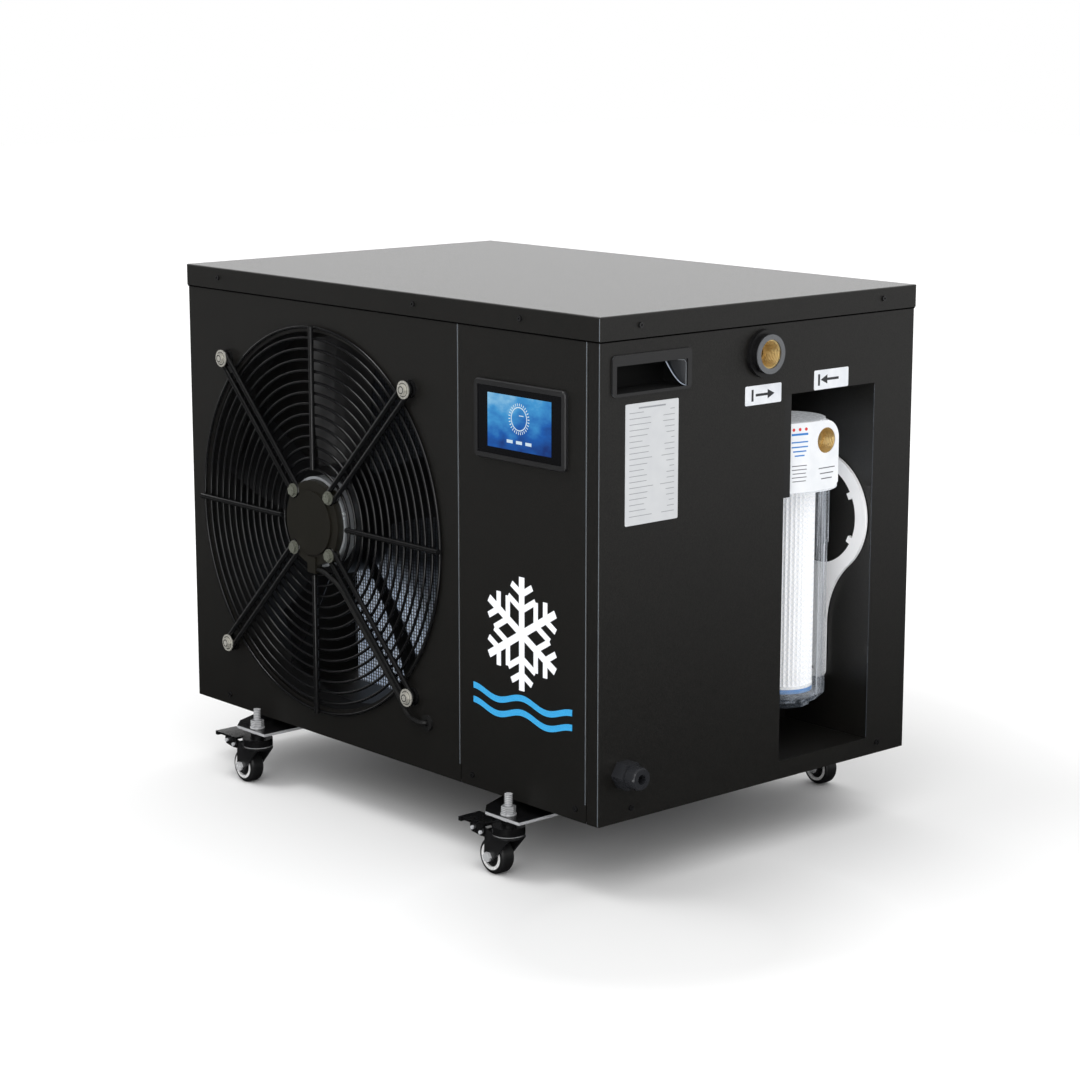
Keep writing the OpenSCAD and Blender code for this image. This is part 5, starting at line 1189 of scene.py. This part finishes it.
@dataclass
class Studio:
    """The floor, the lamps and the camera."""

    eye: tuple[float, float, float] = (2.1721, -1.9171, 0.8691)
    aim: tuple[float, float, float] = (-0.0093, 0.0, 0.28003)
    lens: float = 89.162
    dome: float = 1.2
    back_glow: float = 1.72
    strip: float = 4.0
    # The middle of the floor's painted shadow.
    corner: tuple[float, float] = (0.43, -0.25)

    def build(self) -> None:
        """Builds the studio."""
        self.camera()
        self.floor()
        self.world()
        for name, at, to, size, power in (
                ("key_lamp", (2.6, -2.6, 2.4), (0, 0, 0.3), 2.8, 45.0),
                ("top_lamp", (-0.4, -1.0, 2.8), (0, 0, 0.3), 1.0, 20.0)):
            self.lamp(name, at, to, size, power)

    def camera(self) -> None:
        """The camera at the photograph's place."""
        cam = bpy.data.objects.new("camera", bpy.data.cameras.new("camera"))
        bpy.context.scene.collection.objects.link(cam)
        cam.data.lens = self.lens
        cam.data.sensor_width = 36.0
        cam.data.clip_end = 50.0
        cam.location = self.eye
        cam.rotation_mode = "QUATERNION"
        cam.rotation_quaternion = (Vector(self.aim) - Vector(self.eye)).to_track_quat("-Z", "Y")
        bpy.context.scene.camera = cam

    def floor(self) -> None:
        """A plain pale floor with a painted shadow, greyer by the cabinet and round one corner: its sheen is
        darker, with one bright low strip.
        """
        u = np.linspace(-12, 12, 2)
        x, y = np.meshgrid(u, u, indexing="ij")
        obj = grid_mesh("floor", np.stack([x, y, np.zeros_like(x)], -1))
        s = Sheet("floor")
        px, py, _ = s.place()
        away = (px.power(2) + py.power(2)).root()
        far = away.ramp(0.6, 3.0).power(1.3)
        right = (px * 0.75 + py * 0.66).ramp(-1.0, 3.0, 0.35, 1.0)
        sheen = s.node("ShaderNodeLightPath", output="Is Glossy Ray")
        dim = s.mix(far * right, (0.015, 0.015, 0.015), (0.56, 0.56, 0.56))
        # Painted shadow: the floor is greyer near the cabinet, most round the corner point.
        corner = ((px - self.corner[0]).power(2) + (py - self.corner[1]).power(2)).root()
        shadow_grey = s.mix(corner.ramp(0.13, 0.26), (0.66, 0.66, 0.66), (0.79, 0.79, 0.79))
        plain = s.mix(away.ramp(0.6, 1.1), shadow_grey, (0.98, 0.98, 0.98))
        turn = s.node("ShaderNodeMath", {"operation": "ARCTAN2"}, {0: py, 1: px})
        along = (turn + math.radians(60)).size() < math.radians(8)
        strip = along * (away > 0.75) * (away < 4.0) * sheen
        s.set(Base_Color=s.mix(sheen, plain, dim), Roughness=0.9, Specular_IOR_Level=0.0,
              Emission_Color=s.mix(strip, (0, 0, 0), (1, 1, 1)), Emission_Strength=self.strip)
        s.material.cycles.emission_sampling = "NONE"
        paint(obj, s.material)

    def world(self) -> None:
        """White for the camera, a dome graded by height for light, and for sheen a bright back left."""
        w = bpy.data.worlds.new("world")
        bpy.context.scene.world = w
        w.use_nodes = True
        t = w.node_tree
        t.nodes.clear()

        def node(kind: str, operation: str | None = None, **values):
            """Adds a node, sets its operation and its numbered inputs."""
            n = t.nodes.new(kind)
            if operation:
                n.operation = operation
            for k, v in values.items():
                socket = n.inputs[int(k[1:])]
                if isinstance(v, bpy.types.NodeSocket):
                    t.links.new(v, socket)
                else:
                    socket.default_value = v
            return n

        path = node("ShaderNodeLightPath")
        way = node("ShaderNodeTexCoord").outputs["Generated"]
        back = node("ShaderNodeVectorMath", "DOT_PRODUCT", i0=way, i1=(-0.75, 0.66, 0.1)).outputs["Value"]
        right = node("ShaderNodeVectorMath", "DOT_PRODUCT", i0=way, i1=(0.75, 0.66, 0.0)).outputs["Value"]
        glow = node("ShaderNodeMapRange", i0=back, i1=0.45, i2=0.8, i3=0.0, i4=self.back_glow).outputs[0]
        edge = node("ShaderNodeMapRange", i0=right, i1=-0.6, i2=1.0, i3=0.05, i4=0.55).outputs[0]
        low = node("ShaderNodeVectorMath", "DOT_PRODUCT", i0=way, i1=(0.5, -0.866, 0.0)).outputs["Value"]
        strip = node("ShaderNodeMapRange", i0=low, i1=0.97, i2=0.985, i3=0.0, i4=self.strip).outputs[0]
        soft = node("ShaderNodeMath", "ADD", i0=glow, i1=edge).outputs[0]
        sheen = node("ShaderNodeMath", "ADD", i0=soft, i1=strip).outputs[0]
        height = node("ShaderNodeSeparateXYZ", i0=way).outputs[2]
        low_glow, high_glow = 0.4 * self.dome, 1.3 * self.dome
        dome = node("ShaderNodeMapRange", i0=height, i1=0.0, i2=1.0, i3=low_glow, i4=high_glow).outputs[0]
        gap = node("ShaderNodeMath", "SUBTRACT", i0=sheen, i1=dome).outputs[0]
        part = node("ShaderNodeMath", "MULTIPLY", i0=gap, i1=path.outputs["Is Glossy Ray"]).outputs[0]
        room = node("ShaderNodeMath", "ADD", i0=part, i1=dome).outputs[0]
        seen = node("ShaderNodeMath", "MAXIMUM", i0=path.outputs["Is Camera Ray"],
                    i1=path.outputs["Is Transmission Ray"]).outputs[0]
        lamp = node("ShaderNodeBackground", i0=(1, 1, 1, 1), i1=room)
        white = node("ShaderNodeBackground", i0=(1, 1, 1, 1), i1=1.0)
        mix = node("ShaderNodeMixShader", i0=seen, i1=lamp.outputs[0], i2=white.outputs[0])
        node("ShaderNodeOutputWorld", i0=mix.outputs[0])

    def lamp(self, name: str, at: tuple, to: tuple, size: float, power: float) -> None:
        """One square area lamp that looks from at to to."""
        lamp = bpy.data.lights.new(name, "AREA")
        lamp.size = size
        lamp.energy = power
        obj = bpy.data.objects.new(name, lamp)
        bpy.context.scene.collection.objects.link(obj)
        obj.location = at
        obj.rotation_mode = "QUATERNION"
        obj.rotation_quaternion = (Vector(to) - Vector(at)).to_track_quat("-Z", "Y")


def main() -> None:
    """Loads the solids, dresses them and builds the studio."""
    logging.basicConfig(level=logging.INFO, format="%(message)s")
    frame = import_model()
    bpy.context.scene.view_settings.view_transform = "Standard"
    nodes = frame["nodes"]
    for part in (Cabinet, FanSet, ScreenSet, FilterSet, Casters, Works, Signs):
        part(nodes).build()
    Studio().build()


if __name__ == "__main__":
    main()
